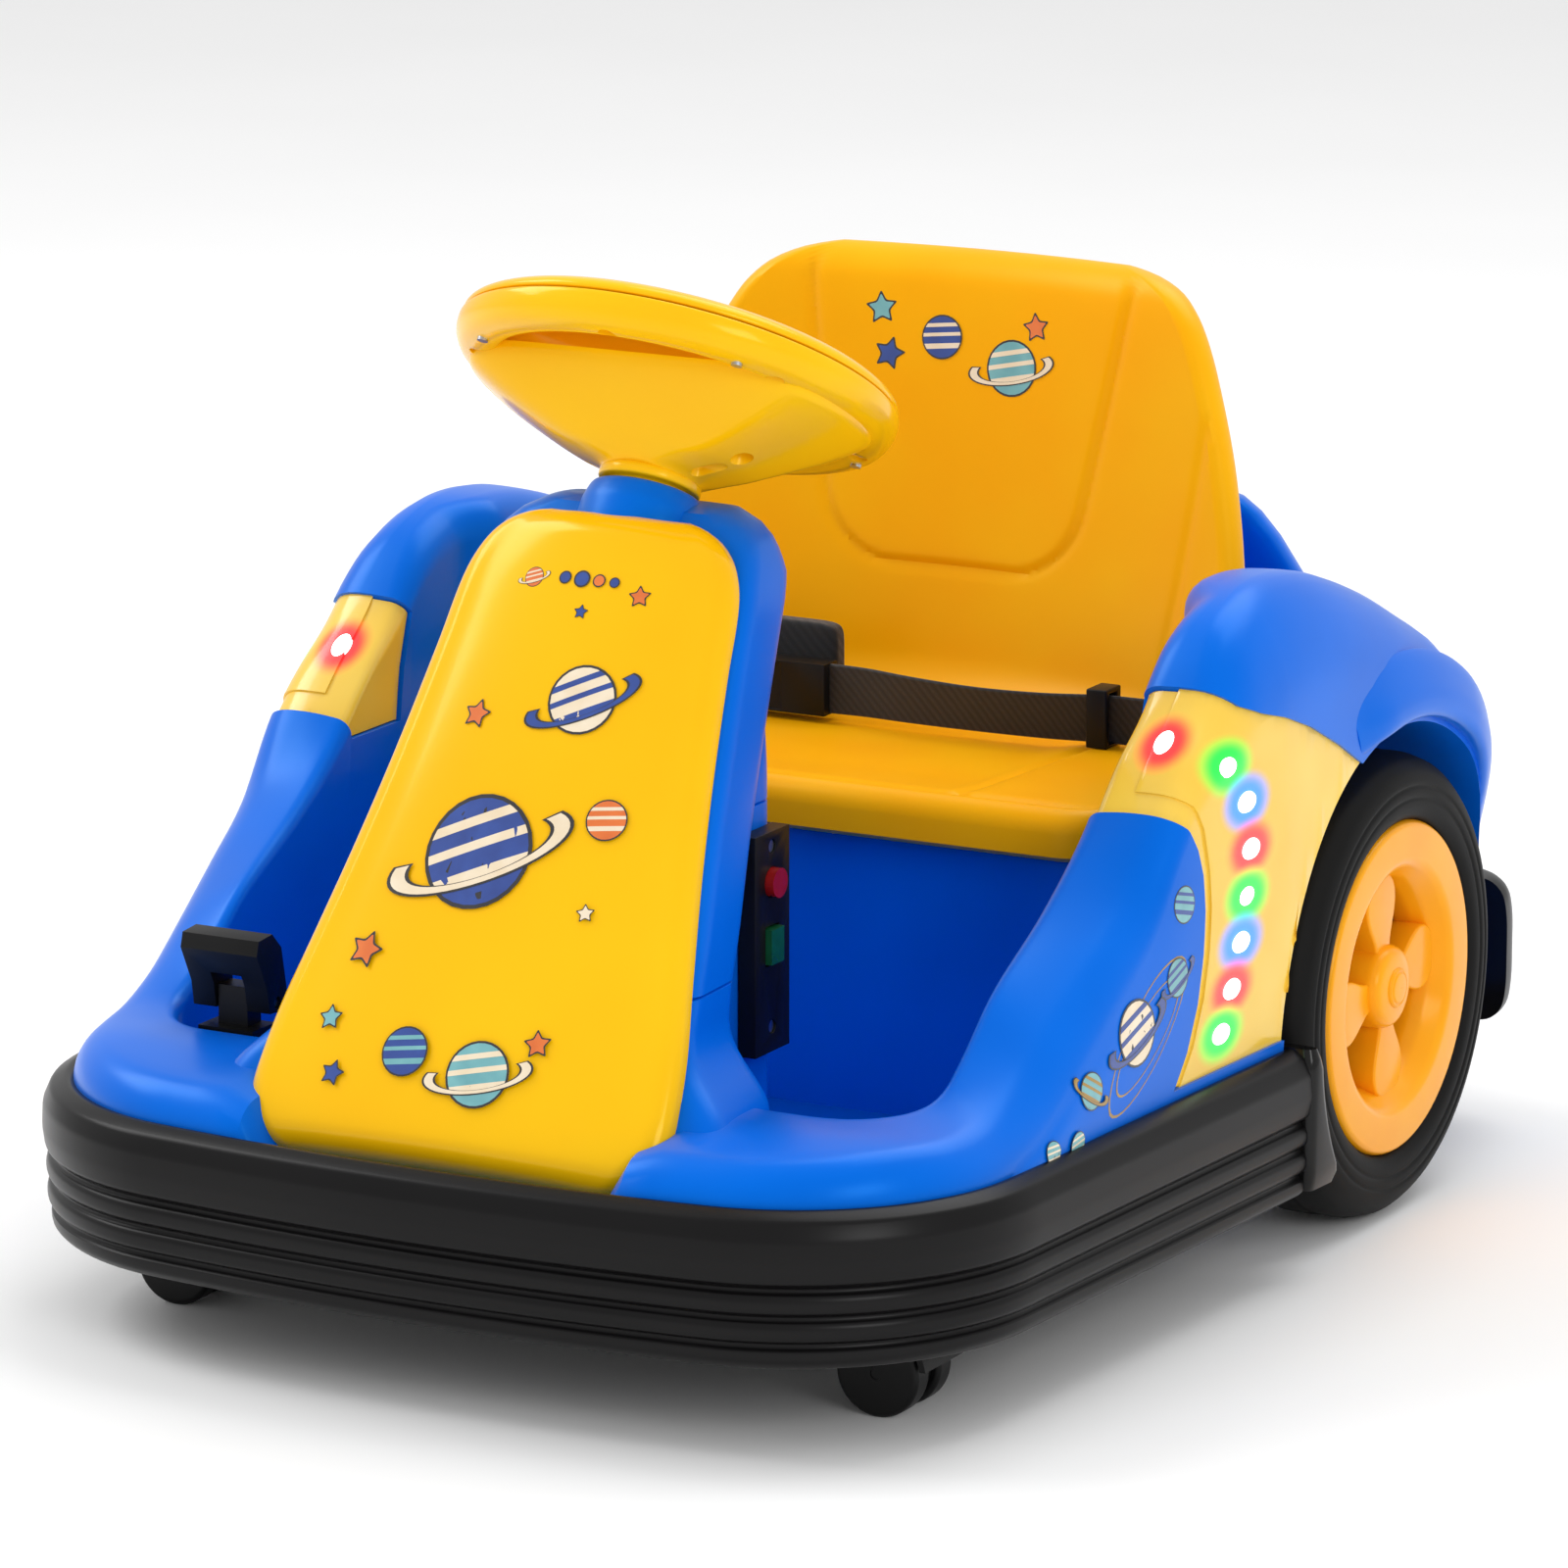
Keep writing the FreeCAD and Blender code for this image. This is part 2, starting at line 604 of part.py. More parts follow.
def grip_slots(low, high):
    """The two curved openings between the wheel's rim and its cone."""
    inner, outer = size("steer_radius") - 46, size("steer_radius") - 2 * size("steer_tube") - 2
    ring = Part.makeCylinder(outer, high - low, Vector(0, 0, low))
    ring = ring.cut(Part.makeCylinder(inner, high - low, Vector(0, 0, low)))
    ring = ring.cut(block(-200, 200, -30, 30, low - 1, high + 1))
    centre, _ = steer_axis()
    ring.Placement = Placement(centre, Rotation(Vector(1, 0, 0), -size("steer_tilt")))
    return ring


def steering_collar():
    """Oval neck on the tower's top, round the column."""
    drop, height = size("collar_drop"), size("collar_height")
    outer = steer_cylinder(size("collar_radius"), -drop, height - drop)
    bore = steer_cylinder(size("neck_radius") + 1, -drop - 30, 20)
    tower = tower_band(0).fuse(tower_column(0))
    lifted = tower.copy()
    lifted.translate(Vector(0, 0, size("seat_gap")))
    skirt = steer_cylinder(size("collar_radius"), -drop - 25, -drop + 1)
    collar = outer.fuse(skirt).cut(bore).cut(lifted).cut(tower).cut(hood_solid(size("seat_gap")))
    solids = sorted(collar.Solids, key=lambda solid: solid.CenterOfMass.z)
    formed("steering_collar", solids[-1])


def steering_wheel():
    """Two shells that meet along the rim: a cone below, a shallow dish above."""
    radius, tube, wall = size("steer_radius"), size("steer_tube"), size("shell_wall")
    neck, drop, gap = size("neck_radius"), size("neck_drop"), size("seat_gap") / 2
    lower = steer_turned(((size("shaft_radius"), -drop), (neck, -drop), (neck, 12 - drop), (58, -22),
                          (radius - 2 * tube, -14), (radius - tube, -1.1 * tube), (radius - 3, -0.6 * tube),
                          (radius, -gap), (radius - wall, -gap), (radius - 5, -0.4 * tube),
                          (radius - tube, -0.8 * tube), (radius - 2 * tube, -11), (58, -18), (neck - wall, 13 - drop),
                          (size("shaft_radius"), 13 - drop)))
    upper = steer_turned(((0, 2), (50, 2), (radius - 2 * tube, 4 - tube), (radius - 2 * tube, gap - 9),
                          (radius - 2 * tube + 2, gap - 9), (radius - 2 * tube + 2, 4 - tube + 2),
                          (radius - wall, gap), (radius, gap), (radius - 3, 0.6 * tube),
                          (radius - tube, tube), (radius - 2 * tube, 0.6 * tube), (50, 6), (0, 6)))
    slots = grip_slots(-40, 30)
    formed("steering_wheel_lower", lower.cut(slots))
    formed("steering_wheel_upper", upper.cut(slots))


def steering_column():
    """Shaft with its cam, the bush that guides it, the switch box that the cam works and the screws."""
    shaft_radius, gap = size("shaft_radius"), size("running_gap")
    shaft = steer_cylinder(shaft_radius - gap, -215, -16)
    cam = steer_cylinder(16, -190, -180)
    formed("steering_shaft", shaft.fuse(cam))
    bush = steer_cylinder(shaft_radius + 9 - 0.2, -92, -74).cut(steer_cylinder(shaft_radius + gap, -95, -70))
    formed("steering_bush", bush)
    centre, axis = steer_axis()
    foot = centre + axis * -196
    back = size("column_back") - size("shell_wall") - size("seat_gap")
    half = size("column_half") - size("shell_wall") - size("seat_gap")
    base = block(-24, 24, back - 70, back, foot.z - 42, foot.z - 12)
    bridge = block(-half, half, back - 30, back, foot.z - 42, foot.z - 37)
    well = steer_cylinder(shaft_radius + 1.5, -260, -150)
    formed("steering_switch_box", base.fuse(bridge).cut(well))
    screws = []
    for turn in (45, 135, 225, 315):
        spot = Placement(centre, Rotation(Vector(1, 0, 0), -size("steer_tilt")) *
                         Rotation(Vector(0, 0, 1), turn))
        screw = Part.makeCylinder(2.6, 3, Vector(size("steer_radius") - 11, 0, -1.1 * size("steer_tube") - 3.8))
        screw.Placement = spot
        screws.append(screw)
    formed("steering_screws", Part.makeCompound(screws))


# ---------------------------------------------------------------- running gear

def gearbox_half_height():
    return size("gear_module") * size("output_teeth") / 2 + size("gear_module") + 2 + size("gearbox_wall")


def shaft_distance():
    return size("gear_module") * (size("pinion_teeth") + size("output_teeth")) / 2


def gear_tooth_points(teeth):
    """Outline of an involute gear about the origin, a tooth centred on +X, with a little backlash."""
    module, pressure, backlash = size("gear_module"), math.radians(20), 0.12
    pitch = module * teeth / 2
    base, tip, root = pitch * math.cos(pressure), pitch + module * 0.92, pitch - 1.25 * module
    start = max(base, root)
    involute = math.tan(pressure) - pressure
    half_tooth = math.pi / (2 * teeth) - backlash / pitch / 2
    flank = []
    for step in range(6):
        radius = start + (tip - start) * step / 5
        angle = math.acos(min(1, base / radius))
        flank.append((radius, half_tooth + involute - (math.tan(angle) - angle)))
    points = []
    for number in range(int(teeth)):
        centre = 2 * math.pi * number / teeth
        left = [(root, -flank[0][1])] + [(radius, -turn) for radius, turn in flank]
        right = [(radius, turn) for radius, turn in reversed(flank)] + [(root, flank[0][1])]
        for radius, turn in left + right:
            points.append((radius * math.cos(centre + turn), radius * math.sin(centre + turn)))
    return points


def gear_solid(teeth, x, y, z, bore, turn):
    """A spur gear on an axis along X; turn brings its first tooth from +Z round to that angle."""
    cosine, sine = math.cos(turn), math.sin(turn)
    points = [Vector(x, y + a * sine + b * cosine, z + a * cosine - b * sine)
              for a, b in gear_tooth_points(teeth)]
    face = Part.Face(Part.makePolygon(points + [points[0]]))
    solid = face.extrude(Vector(size("gear_width"), 0, 0))
    return solid.cut(disc(bore, x - 1, x + 40, y, z)) if bore else solid


def drive_train(side, name):
    """Motor, gearbox, motor pinion and output gear of one rear wheel, made on the driver's left."""
    axle_y, axle_z = size("axle_y"), size("tyre_radius")
    motor_y = axle_y - shaft_distance()
    inner, outer, wall = size("gearbox_inner_x"), size("gearbox_outer_x"), size("gearbox_wall")
    gear_x, gap = size("gear_x"), size("running_gap")
    forward = -math.pi / 2
    pinion = gear_solid(size("pinion_teeth"), gear_x, motor_y, axle_z, 0, -forward)
    shaft = disc(size("motor_shaft_radius"), inner - 20, gear_x + size("gear_width"), motor_y, axle_z)
    output_turn = forward + math.pi / size("output_teeth")
    output = gear_solid(size("output_teeth"), gear_x, axle_y, axle_z, 0, output_turn)
    rim_face = size("tyre_outer_x") - size("tyre_width") + 2
    sleeve = disc(size("sleeve_radius"), gear_x, rim_face + 8, axle_y, axle_z)
    output = output.fuse(sleeve).cut(disc(size("axle_radius") + gap, 0, 400, axle_y, axle_z))
    tip = size("gear_module")
    big = size("gear_module") * size("output_teeth") / 2 + tip + 2
    small = size("gear_module") * size("pinion_teeth") / 2 + tip + 2
    case = disc(big + wall, inner, outer, axle_y, axle_z).fuse(
        disc(small + wall + 8, inner, outer, motor_y, axle_z))
    space = disc(big, inner + wall, outer - wall, axle_y, axle_z).fuse(
        disc(small, inner + wall, outer - wall, motor_y, axle_z))
    case = case.cut(space).cut(disc(size("sleeve_radius") + 0.5, gear_x, 400, axle_y, axle_z))
    case = case.cut(disc(size("axle_radius") + gap, 0, 400, axle_y, axle_z))
    case = case.cut(disc(size("motor_shaft_radius") + 1, 0, gear_x, motor_y, axle_z))
    can = disc(size("motor_radius"), inner - size("motor_length"), inner, motor_y, axle_z)
    can = can.cut(disc(size("motor_shaft_radius") + gap, inner - 21, 400, motor_y, axle_z))
    for label, solid in (("gearbox", case), ("motor", can), ("output_gear", output),
                         ("motor_pinion", pinion.fuse(shaft))):
        formed(f"{label}_{name}", solid if side == 1 else mirrored(solid))


def origin_plane(body, role):
    return next(item for item in body.Origin.OriginFeatures if item.Role == role)


def profile_sketch(body, role, name, corners):
    """A closed polygon sketch whose corners are tied to expressions over the sheet."""
    sketch = body.newObject("Sketcher::SketchObject", name)
    sketch.AttachmentSupport = [(origin_plane(body, role), "")]
    sketch.MapMode = "FlatFace"
    count = len(corners)
    rough = [Vector(20 + 3 * i, 10 + 5 * (i % 3), 0) for i in range(count)]
    for i in range(count):
        sketch.addGeometry(Part.LineSegment(rough[i], rough[(i + 1) % count]), False)
    for i in range(count):
        sketch.addConstraint(Sketcher.Constraint("Coincident", i, 2, (i + 1) % count, 1))
    for i, (across, up) in enumerate(corners):
        for kind, text in (("DistanceX", across), ("DistanceY", up)):
            start = rough[i].x if kind == "DistanceX" else rough[i].y
            number = sketch.addConstraint(Sketcher.Constraint(kind, -1, 1, i, 1, start))
            label = f"{'x' if kind == 'DistanceX' else 'y'}_{i}"
            sketch.renameConstraint(number, label)
            sketch.setExpression(f".Constraints.{label}", cells(text))
    return sketch


def turned_body(label, corners):
    """A body turned about its own Z axis from (radius, height) corners."""
    body = doc.addObject("PartDesign::Body", label)
    sketch = profile_sketch(body, "XZ_Plane", f"{label}_profile", corners)
    turn = body.newObject("PartDesign::Revolution", f"{label}_turn")
    turn.Profile = sketch
    turn.ReferenceAxis = (sketch, ["V_Axis"])
    turn.Angle = 360
    body.Tip = turn
    return body


def lay_on_axle(body, side):
    """Turn a wheel part so that its Z axis points outboard along the axle."""
    body.Placement = Placement(Vector(0, 0, 0), Rotation(Vector(0, 1, 0), 90 * side))
    body.setExpression("Placement.Base.x", cells(f"{side} * (tyre_outer_x - tyre_width)"))
    body.setExpression("Placement.Base.y", cells("axle_y"))
    body.setExpression("Placement.Base.z", cells("tyre_radius"))


TYRE_PROFILE = (("rim_radius + 0.02", "2"), ("tyre_radius - 12", "1"), ("tyre_radius - 3", "6"),
                ("tyre_radius", "14"), ("tyre_radius", "tyre_width - 22"), ("tyre_radius - 3", "tyre_width - 12"),
                ("tyre_radius - 10", "tyre_width - 4"), ("tyre_radius - 20", "tyre_width"),
                ("rim_radius + 5", "tyre_width - 1"), ("rim_radius + 0.02", "tyre_width - 4"))
RIM_PROFILE = (("window_radius + 8", "3"), ("rim_radius", "3"), ("rim_radius", "tyre_width - 3"),
               ("rim_radius - 6", "tyre_width - 1"), ("window_radius + 4", "tyre_width - 4"),
               ("window_radius", "tyre_width - 9"), ("window_radius", "tyre_width - 18"),
               ("rim_radius - 4", "tyre_width - 18"), ("rim_radius - 4", "6"), ("window_radius + 8", "6"))


def tyre(side, name):
    body = turned_body(f"tyre_{name}", TYRE_PROFILE)
    lay_on_axle(body, side)
    keep(body, f"tyre_{name}")


def rim(side, name):
    """Wheel with a barrel, four blades like a propeller's and a hub on the output sleeve."""
    label = f"rim_{name}"
    body = turned_body(label, RIM_PROFILE)
    hub = body.newObject("PartDesign::AdditiveCylinder", f"{label}_hub")
    hub.AttachmentSupport = [(origin_plane(body, "XY_Plane"), "")]
    hub.MapMode = "FlatFace"
    bind(hub, Radius="hub_radius", Height="tyre_width - 12")
    hub.AttachmentOffset = Placement(Vector(0, 0, 2), Rotation())
    corners = (("hub_radius * 0.5", "5"), ("hub_radius", "8"), ("window_radius * 0.6", "17"),
               ("window_radius - 12", "20"), ("window_radius + 3", "18"), ("window_radius + 3", "2"),
               ("window_radius * 0.6", "1"), ("hub_radius * 0.5", "1"))
    sketch = profile_sketch(body, "XY_Plane", f"{label}_blade", corners)
    sketch.setExpression("AttachmentOffset.Base.z", cells("tyre_width - 20"))
    blade = body.newObject("PartDesign::Pad", f"{label}_blade_pad")
    blade.Profile = sketch
    blade.Length = 8
    body.Tip = blade
    ring = body.newObject("PartDesign::PolarPattern", f"{label}_blades")
    ring.Originals = [blade]
    ring.Axis = (origin_plane(body, "Z_Axis"), [""])
    ring.Angle = 360
    ring.Occurrences = 4
    body.Tip = ring
    bore = body.newObject("PartDesign::SubtractiveCylinder", f"{label}_bore")
    bore.AttachmentSupport = [(origin_plane(body, "XY_Plane"), "")]
    bore.MapMode = "FlatFace"
    bind(bore, Radius="axle_radius + running_gap", Height="tyre_width + 20")
    bore.AttachmentOffset = Placement(Vector(0, 0, -5), Rotation())
    counterbore = body.newObject("PartDesign::SubtractiveCylinder", f"{label}_sleeve_seat")
    counterbore.AttachmentSupport = [(origin_plane(body, "XY_Plane"), "")]
    counterbore.MapMode = "FlatFace"
    bind(counterbore, Radius="sleeve_radius + 0.02", Height="15.02")
    counterbore.AttachmentOffset = Placement(Vector(0, 0, -5), Rotation())
    nut_seat = body.newObject("PartDesign::SubtractiveCylinder", f"{label}_nut_seat")
    nut_seat.AttachmentSupport = [(origin_plane(body, "XY_Plane"), "")]
    nut_seat.MapMode = "FlatFace"
    bind(nut_seat, Radius="12", Height="12")
    nut_seat.setExpression("AttachmentOffset.Base.z", cells("tyre_width - 22"))
    body.Tip = nut_seat
    lay_on_axle(body, side)
    keep(body, label)


def axle_parts():
    """Fixed steel axle; each rim is held on by a washer and a nut, under a pressed hub cap."""
    seat_x = "tyre_outer_x - 22"
    axle = cylinder("rear_axle", (f"-({seat_x}) - 8", "axle_y", "tyre_radius"), "axle_radius",
                    f"2 * ({seat_x}) + 16", ALONG_X)
    keep(axle, "rear_axle")
    washers, nuts, caps = [], [], []
    for side in (1, -1):
        start = f"{side} * ({seat_x} + 0.3)" if side == 1 else f"-({seat_x}) - 1.8"
        ring = cylinder(f"washer_{side}", (start, "axle_y", "tyre_radius"), "11", "1.5", ALONG_X)
        hole = cylinder(f"washer_hole_{side}", (f"{start} - 5", "axle_y", "tyre_radius"),
                        "axle_radius + 0.02", "20", ALONG_X)
        washers.append(cut(f"washer_cut_{side}", ring, hole))
        start = f"{seat_x} + 2" if side == 1 else f"-({seat_x}) - 7"
        body = doc.addObject("Part::Prism", f"nut_{side}")
        body.Polygon = 6
        bind(body, Circumradius="9", Height="5")
        place(body, start, "axle_y", "tyre_radius", ALONG_X)
        hole = cylinder(f"nut_hole_{side}", (f"{start} - 5", "axle_y", "tyre_radius"),
                        "axle_radius + 0.02", "20", ALONG_X)
        nuts.append(cut(f"nut_cut_{side}", body, hole))
    keep(group("axle_washers", *washers), "axle_washers")
    keep(group("axle_nuts", *nuts), "axle_nuts")
    for side, name in ((1, "left"), (-1, "right")):
        start = size("tyre_outer_x") - 22 + 8.6
        cap = disc(11.9, start, start + 6, size("axle_y"), size("tyre_radius"))
        button = Part.makeCylinder(8, 2, Vector(start + 5, size("axle_y"), size("tyre_radius")), Vector(1, 0, 0))
        cap = cap.fuse(button)
        formed(f"hub_cap_{name}", cap if side == 1 else mirrored(cap))


def casters():
    """Front swivel casters: a hooded fork on a stem, and a pair of wheels on its pin."""
    radius, width, web = size("caster_wheel_radius"), size("caster_wheel_width"), size("caster_web")
    gap, pin = size("running_gap"), size("caster_pin_radius")
    for side, name in ((1, "left"), (-1, "right")):
        swivel = Vector(size("caster_x"), size("caster_y"), 0)
        wheel = Vector(swivel.x + size("caster_trail"), swivel.y, radius)
        reach = web / 2 + width + 1.5
        plate = Part.makeCylinder(radius - 4, web, wheel - Vector(0, web / 2, 0), Vector(0, 1, 0))
        hood = Part.makeCylinder(radius + 5, 2 * reach, wheel - Vector(0, reach, 0), Vector(0, 1, 0))
        hood = hood.cut(Part.makeCylinder(radius + 2, 2 * reach, wheel - Vector(0, reach, 0), Vector(0, 1, 0)))
        hood = hood.cut(block(0, 400, -400, 0, -10, radius + 4))
        neck = block(wheel.x - 14, wheel.x + 12, wheel.y - web / 2, wheel.y + web / 2, radius, 2 * radius + 3)
        boss = Part.makeCylinder(9, 10, Vector(swivel.x, swivel.y, 2 * radius - 0.5))
        boss = boss.cut(Part.makeCylinder(radius + 2, 2 * reach, wheel - Vector(0, reach, 0), Vector(0, 1, 0)))
        top = size("floor_low") + size("floor_thick") - 1
        stem = Part.makeCylinder(size("caster_stem_radius"), top - 2 * radius - 4,
                                 Vector(swivel.x, swivel.y, 2 * radius + 4))
        axle = Part.makeCylinder(pin, 2 * reach - 3, wheel - Vector(0, reach - 1.5, 0), Vector(0, 1, 0))
        fork = plate.fuse([hood, neck, boss, stem, axle])
        wheels = []
        for face in (web / 2 + 0.5, -web / 2 - 0.5 - width):
            spot = wheel + Vector(0, face, 0)
            tread = Part.makeCylinder(radius, width, spot, Vector(0, 1, 0))
            tread = tread.makeFillet(2.5, [e for e in tread.Edges if e.Curve.TypeId == "Part::GeomCircle"])
            wheels.append(tread.cut(Part.makeCylinder(pin + gap, 200, spot - Vector(0, 60, 0), Vector(0, 1, 0))))
        wheels = Part.makeCompound(wheels)
        formed(f"caster_fork_{name}", fork if side == 1 else mirrored(fork))
        formed(f"caster_wheels_{name}", wheels if side == 1 else mirrored(wheels))


# ---------------------------------------------------------------- seat

# Height on the backrest, its half width, and where its face stands at the side and in the middle.
BACK_SECTIONS = ((231, 176, 112, 166), (262, 173, 126, 172), (306, 165, 150, 182), (357, 152, 172, 192),
                 (401, 140, 186, 200), (432, 124, 198, 207), (447, 104, 204, 210), (453, 80, 209, 212))


def crescent(half, side_y, middle_y, front, back, z):
    """A closed crescent between two arcs, front and back of the face line."""
    inner = Part.Arc(Vector(-half, side_y + front, z), Vector(0, middle_y + front, z),
                     Vector(half, side_y + front, z)).toShape()
    outer = Part.Arc(Vector(half, side_y + back, z), Vector(0, middle_y + back, z),
                     Vector(-half, side_y + back, z)).toShape()
    return Part.Wire([inner, Part.makeLine(Vector(half, side_y + front, z), Vector(half, side_y + back, z)),
                      outer, Part.makeLine(Vector(-half, side_y + back, z), Vector(-half, side_y + front, z))])


def backrest(front, back, grow=0):
    sections = [crescent(half + grow, side_y, middle_y, front, back, z)
                for z, half, side_y, middle_y in BACK_SECTIONS]
    return Part.makeLoft(sections, True, True)


def seat():
    """Pan and bucket back in one moulding, resting on the body's seat base."""
    low = size("seat_base") + size("seat_gap")
    half, front, thick = size("pan_half"), size("pan_front"), size("pan_thick")
    pan = block(-half, half, front, 170, low, low + thick)
    upright = [e for e in pan.Edges if abs(e.Vertexes[0].Z - e.Vertexes[-1].Z) > 10 and e.Vertexes[0].Y < 0]
    pan = pan.makeFillet(24, upright)
    corner = pan.cut(block(-400, 400, 120, 400, 0, 400).cut(Part.Face(
        crescent(176, 112, 166, -300, 18, 200)).extrude(Vector(0, 0, 60))))
    shell = corner.fuse(backrest(0, size("back_thick")))
    front_top = [e for e in shell.Edges if abs(e.CenterOfMass.z - low - thick) < 0.1
                 and e.CenterOfMass.y < front + 1]
    shell = shell.makeFillet(8, front_top)
    shell = shell.cut(block(5 - half, half - 5, front + 5, 100, low - 1, low + thick - 5))
    formed("seat", shell.removeSplitter())


def rear_shell():
    """Cover behind the backrest, standing on the tail of the body."""
    low = size("seat_base") + size("seat_gap")
    wall = size("shell_wall")

    def hump(inset, drop):
        rows = ((168, 150, 318, low - drop), (162, 160, 300, 262), (152, 168, 262, 315),
                (140, 180, 240, 338 - inset))
        return ruled_tower([(half - inset, half - inset, front, back - inset, z)
                            for half, front, back, z in rows])

    space = backrest(-200, size("back_thick") + size("seat_gap"), 3)
    shell = hump(0, 0).cut(hump(wall, 5)).fuse(hump(0, 0).common(
        backrest(-150, size("back_thick") + size("seat_gap") + wall, 3))).cut(space)
    shell = shell.cut(block(-400, 400, 0, 188, 0, 232))
    solids = sorted(shell.Solids, key=lambda solid: solid.Volume)
    formed("rear_shell", solids[-1])


# ---------------------------------------------------------------- controls

def control_panel():
    """Switch plate on the tower's left flank, with its button, rocker and screws."""
    face = "column_half + seat_gap"
    plate = box("plate", (face, "panel_front", "panel_low"),
                ("panel_depth", "panel_back - panel_front", "panel_high - panel_low"))
    middle = "(panel_front + panel_back) / 2"
    button_z, rocker_z = "panel_high - 24", "panel_high - 54"
    button_hole = cylinder("button_hole", (f"{face} + 1", middle, button_z),
                           "button_radius + seat_gap", "20", ALONG_X)
    rocker_hole = box("rocker_hole", (f"{face} + 1", f"{middle} - 6.5", f"{rocker_z} - rocker_length / 2 - 0.5"),
                      ("20", "13", "rocker_length + 1"))
    screw_holes, screws = [], []
    for number, height in enumerate(("panel_low + 12", "panel_high - 7")):
        screw_holes.append(cylinder(f"screw_hole_{number}", (f"{face} + 3", middle, height), "3.3", "20",
                                    ALONG_X))
        screws.append(cylinder(f"screw_{number}", (f"{face} + 3", middle, height), "3", "5", ALONG_X))
    keep(cut("control_panel", plate, button_hole, rocker_hole, *screw_holes), "control_panel")
    keep(group("panel_screws", *screws), "panel_screws")
    button = cylinder("button", (f"{face} + 1 + button_travel + seat_gap", middle, button_z),
                      "button_radius", "panel_depth", ALONG_X)
    keep(button, "power_button")
    rocker = box("rocker", (f"{face} + 3", f"{middle} - 6", f"{rocker_z} - rocker_length / 2 + 0.7"),
                 ("panel_depth", "12", "rocker_length - 1.4"))
    keep(rocker, "rocker_switch")


# Side view of the pedal about its pin: (back from the pin, up from the pin).
PEDAL_SIDE = ((-7, -4), (6, -5), (9, 2), (4, 26), (-4, 34), (-16, 33), (-18, 26), (-9, 8))


def pedal_parts():
    """Foot pedal hinged on top of a bracket at the front of the right footwell, with its switch."""
    floor = "floor_low + floor_thick + shell_wall + 2 * seat_gap"
    front = "cockpit_front + 2"
    post = box("bracket_post", ("pedal_x - pedal_width / 2 + 6", front, floor),
               ("pedal_width - 12", "pedal_y - cockpit_front + 6", f"pedal_pin_z - 12 - ({floor})"))
    ear = box("bracket_ear", ("pedal_x - 8", "pedal_y - 6", floor), ("16", "12", f"pedal_pin_z + 7 - ({floor})"))
    pin_hole = cylinder("bracket_hole", ("pedal_x - 60", "pedal_y", "pedal_pin_z"),
                        "pedal_pin_radius + 0.02", "120", ALONG_X)
    keep(cut("pedal_bracket", fuse("bracket_body", post, ear), pin_hole), "pedal_bracket")
    keep(cylinder("pin", ("pedal_x - pedal_width / 2 + 2", "pedal_y", "pedal_pin_z"), "pedal_pin_radius",
                  "pedal_width - 4", ALONG_X), "pedal_pin")
    keep(box("switch", ("pedal_x - 9", "pedal_y + 8 + 2 * seat_gap", "pedal_pin_z - 34"), ("18", "7", "14")),
         "pedal_switch")
    x, y, z, half = size("pedal_x"), size("pedal_y"), size("pedal_pin_z"), size("pedal_width") / 2
    outline = [Vector(x - half, y + across, z + up) for across, up in PEDAL_SIDE]
    plate = Part.Face(Part.makePolygon(outline + [outline[0]])).extrude(Vector(2 * half, 0, 0))
    plate = plate.cut(disc(size("pedal_pin_radius") + size("running_gap"), -400, 400, y, z))
    formed("pedal", plate.cut(block(x - 8.5, x + 8.5, y - 12, y + 12, 0, z + 14)))


# ---------------------------------------------------------------- belt

def ribbon(points, low, high, thick):
    """Webbing that stands on its edge along points in plan."""
    left, right = [], []
    for number, (x, y) in enumerate(points):
        before = points[max(number - 1, 0)]
        after = points[min(number + 1, len(points) - 1)]
        run, rise = after[0] - before[0], after[1] - before[1]
        length = math.hypot(run, rise)
        offset_x, offset_y = -rise / length * thick / 2, run / length * thick / 2
        left.append(Vector(x + offset_x, y + offset_y, low))
        right.append(Vector(x - offset_x, y - offset_y, low))
    loop = left + right[::-1]
    return Part.Face(Part.makePolygon(loop + [loop[0]])).extrude(Vector(0, 0, high - low))


def lap_belt():
    """Webbing from each side of the seat, its adjuster, buckle, pad and anchor screws."""
    low = size("seat_base") + size("pan_thick") + 2 * size("seat_gap")
    wide, thick = size("web_width"), size("web_thick")
    left = ribbon([(173, 111.8), (150, 110), (122, 106), (60, 100), (10, 101), (-28, 102)],
                  low, low + wide, thick)
    right = ribbon([(-173, 111.8), (-150, 110), (-126, 104), (-100, 102)], low, low + wide, thick)
    formed("belt_strap_left", left)
    formed("belt_strap_right", right)
    adjuster = block(117, 122, 98, 113, low, low + wide + 4)
    adjuster = adjuster.cut(block(116, 124, 102, 109.5, low - 1, low + wide + 1))
    formed("belt_adjuster", adjuster)
    socket = block(-70, -28.3, 95, 109, low, low + wide + 1)
    tongue = block(-99.7, -70.3, 96, 108, low + 2, low + wide - 2)
    formed("buckle_socket", socket)
    formed("buckle_tongue", tongue)
    pad = block(-104, -34, 118, 132, low, low + 42)
    formed("belt_pad", pad.makeFillet(5, pad.Edges))
    screws = []
    for side in (1, -1):
        screws.append(Part.makeCylinder(4.5, 3, Vector(side * 167, 107, low + wide / 2), Vector(0, 1, 0)))
    formed("belt_anchor_screws", Part.makeCompound(screws))


# ---------------------------------------------------------------- electrics

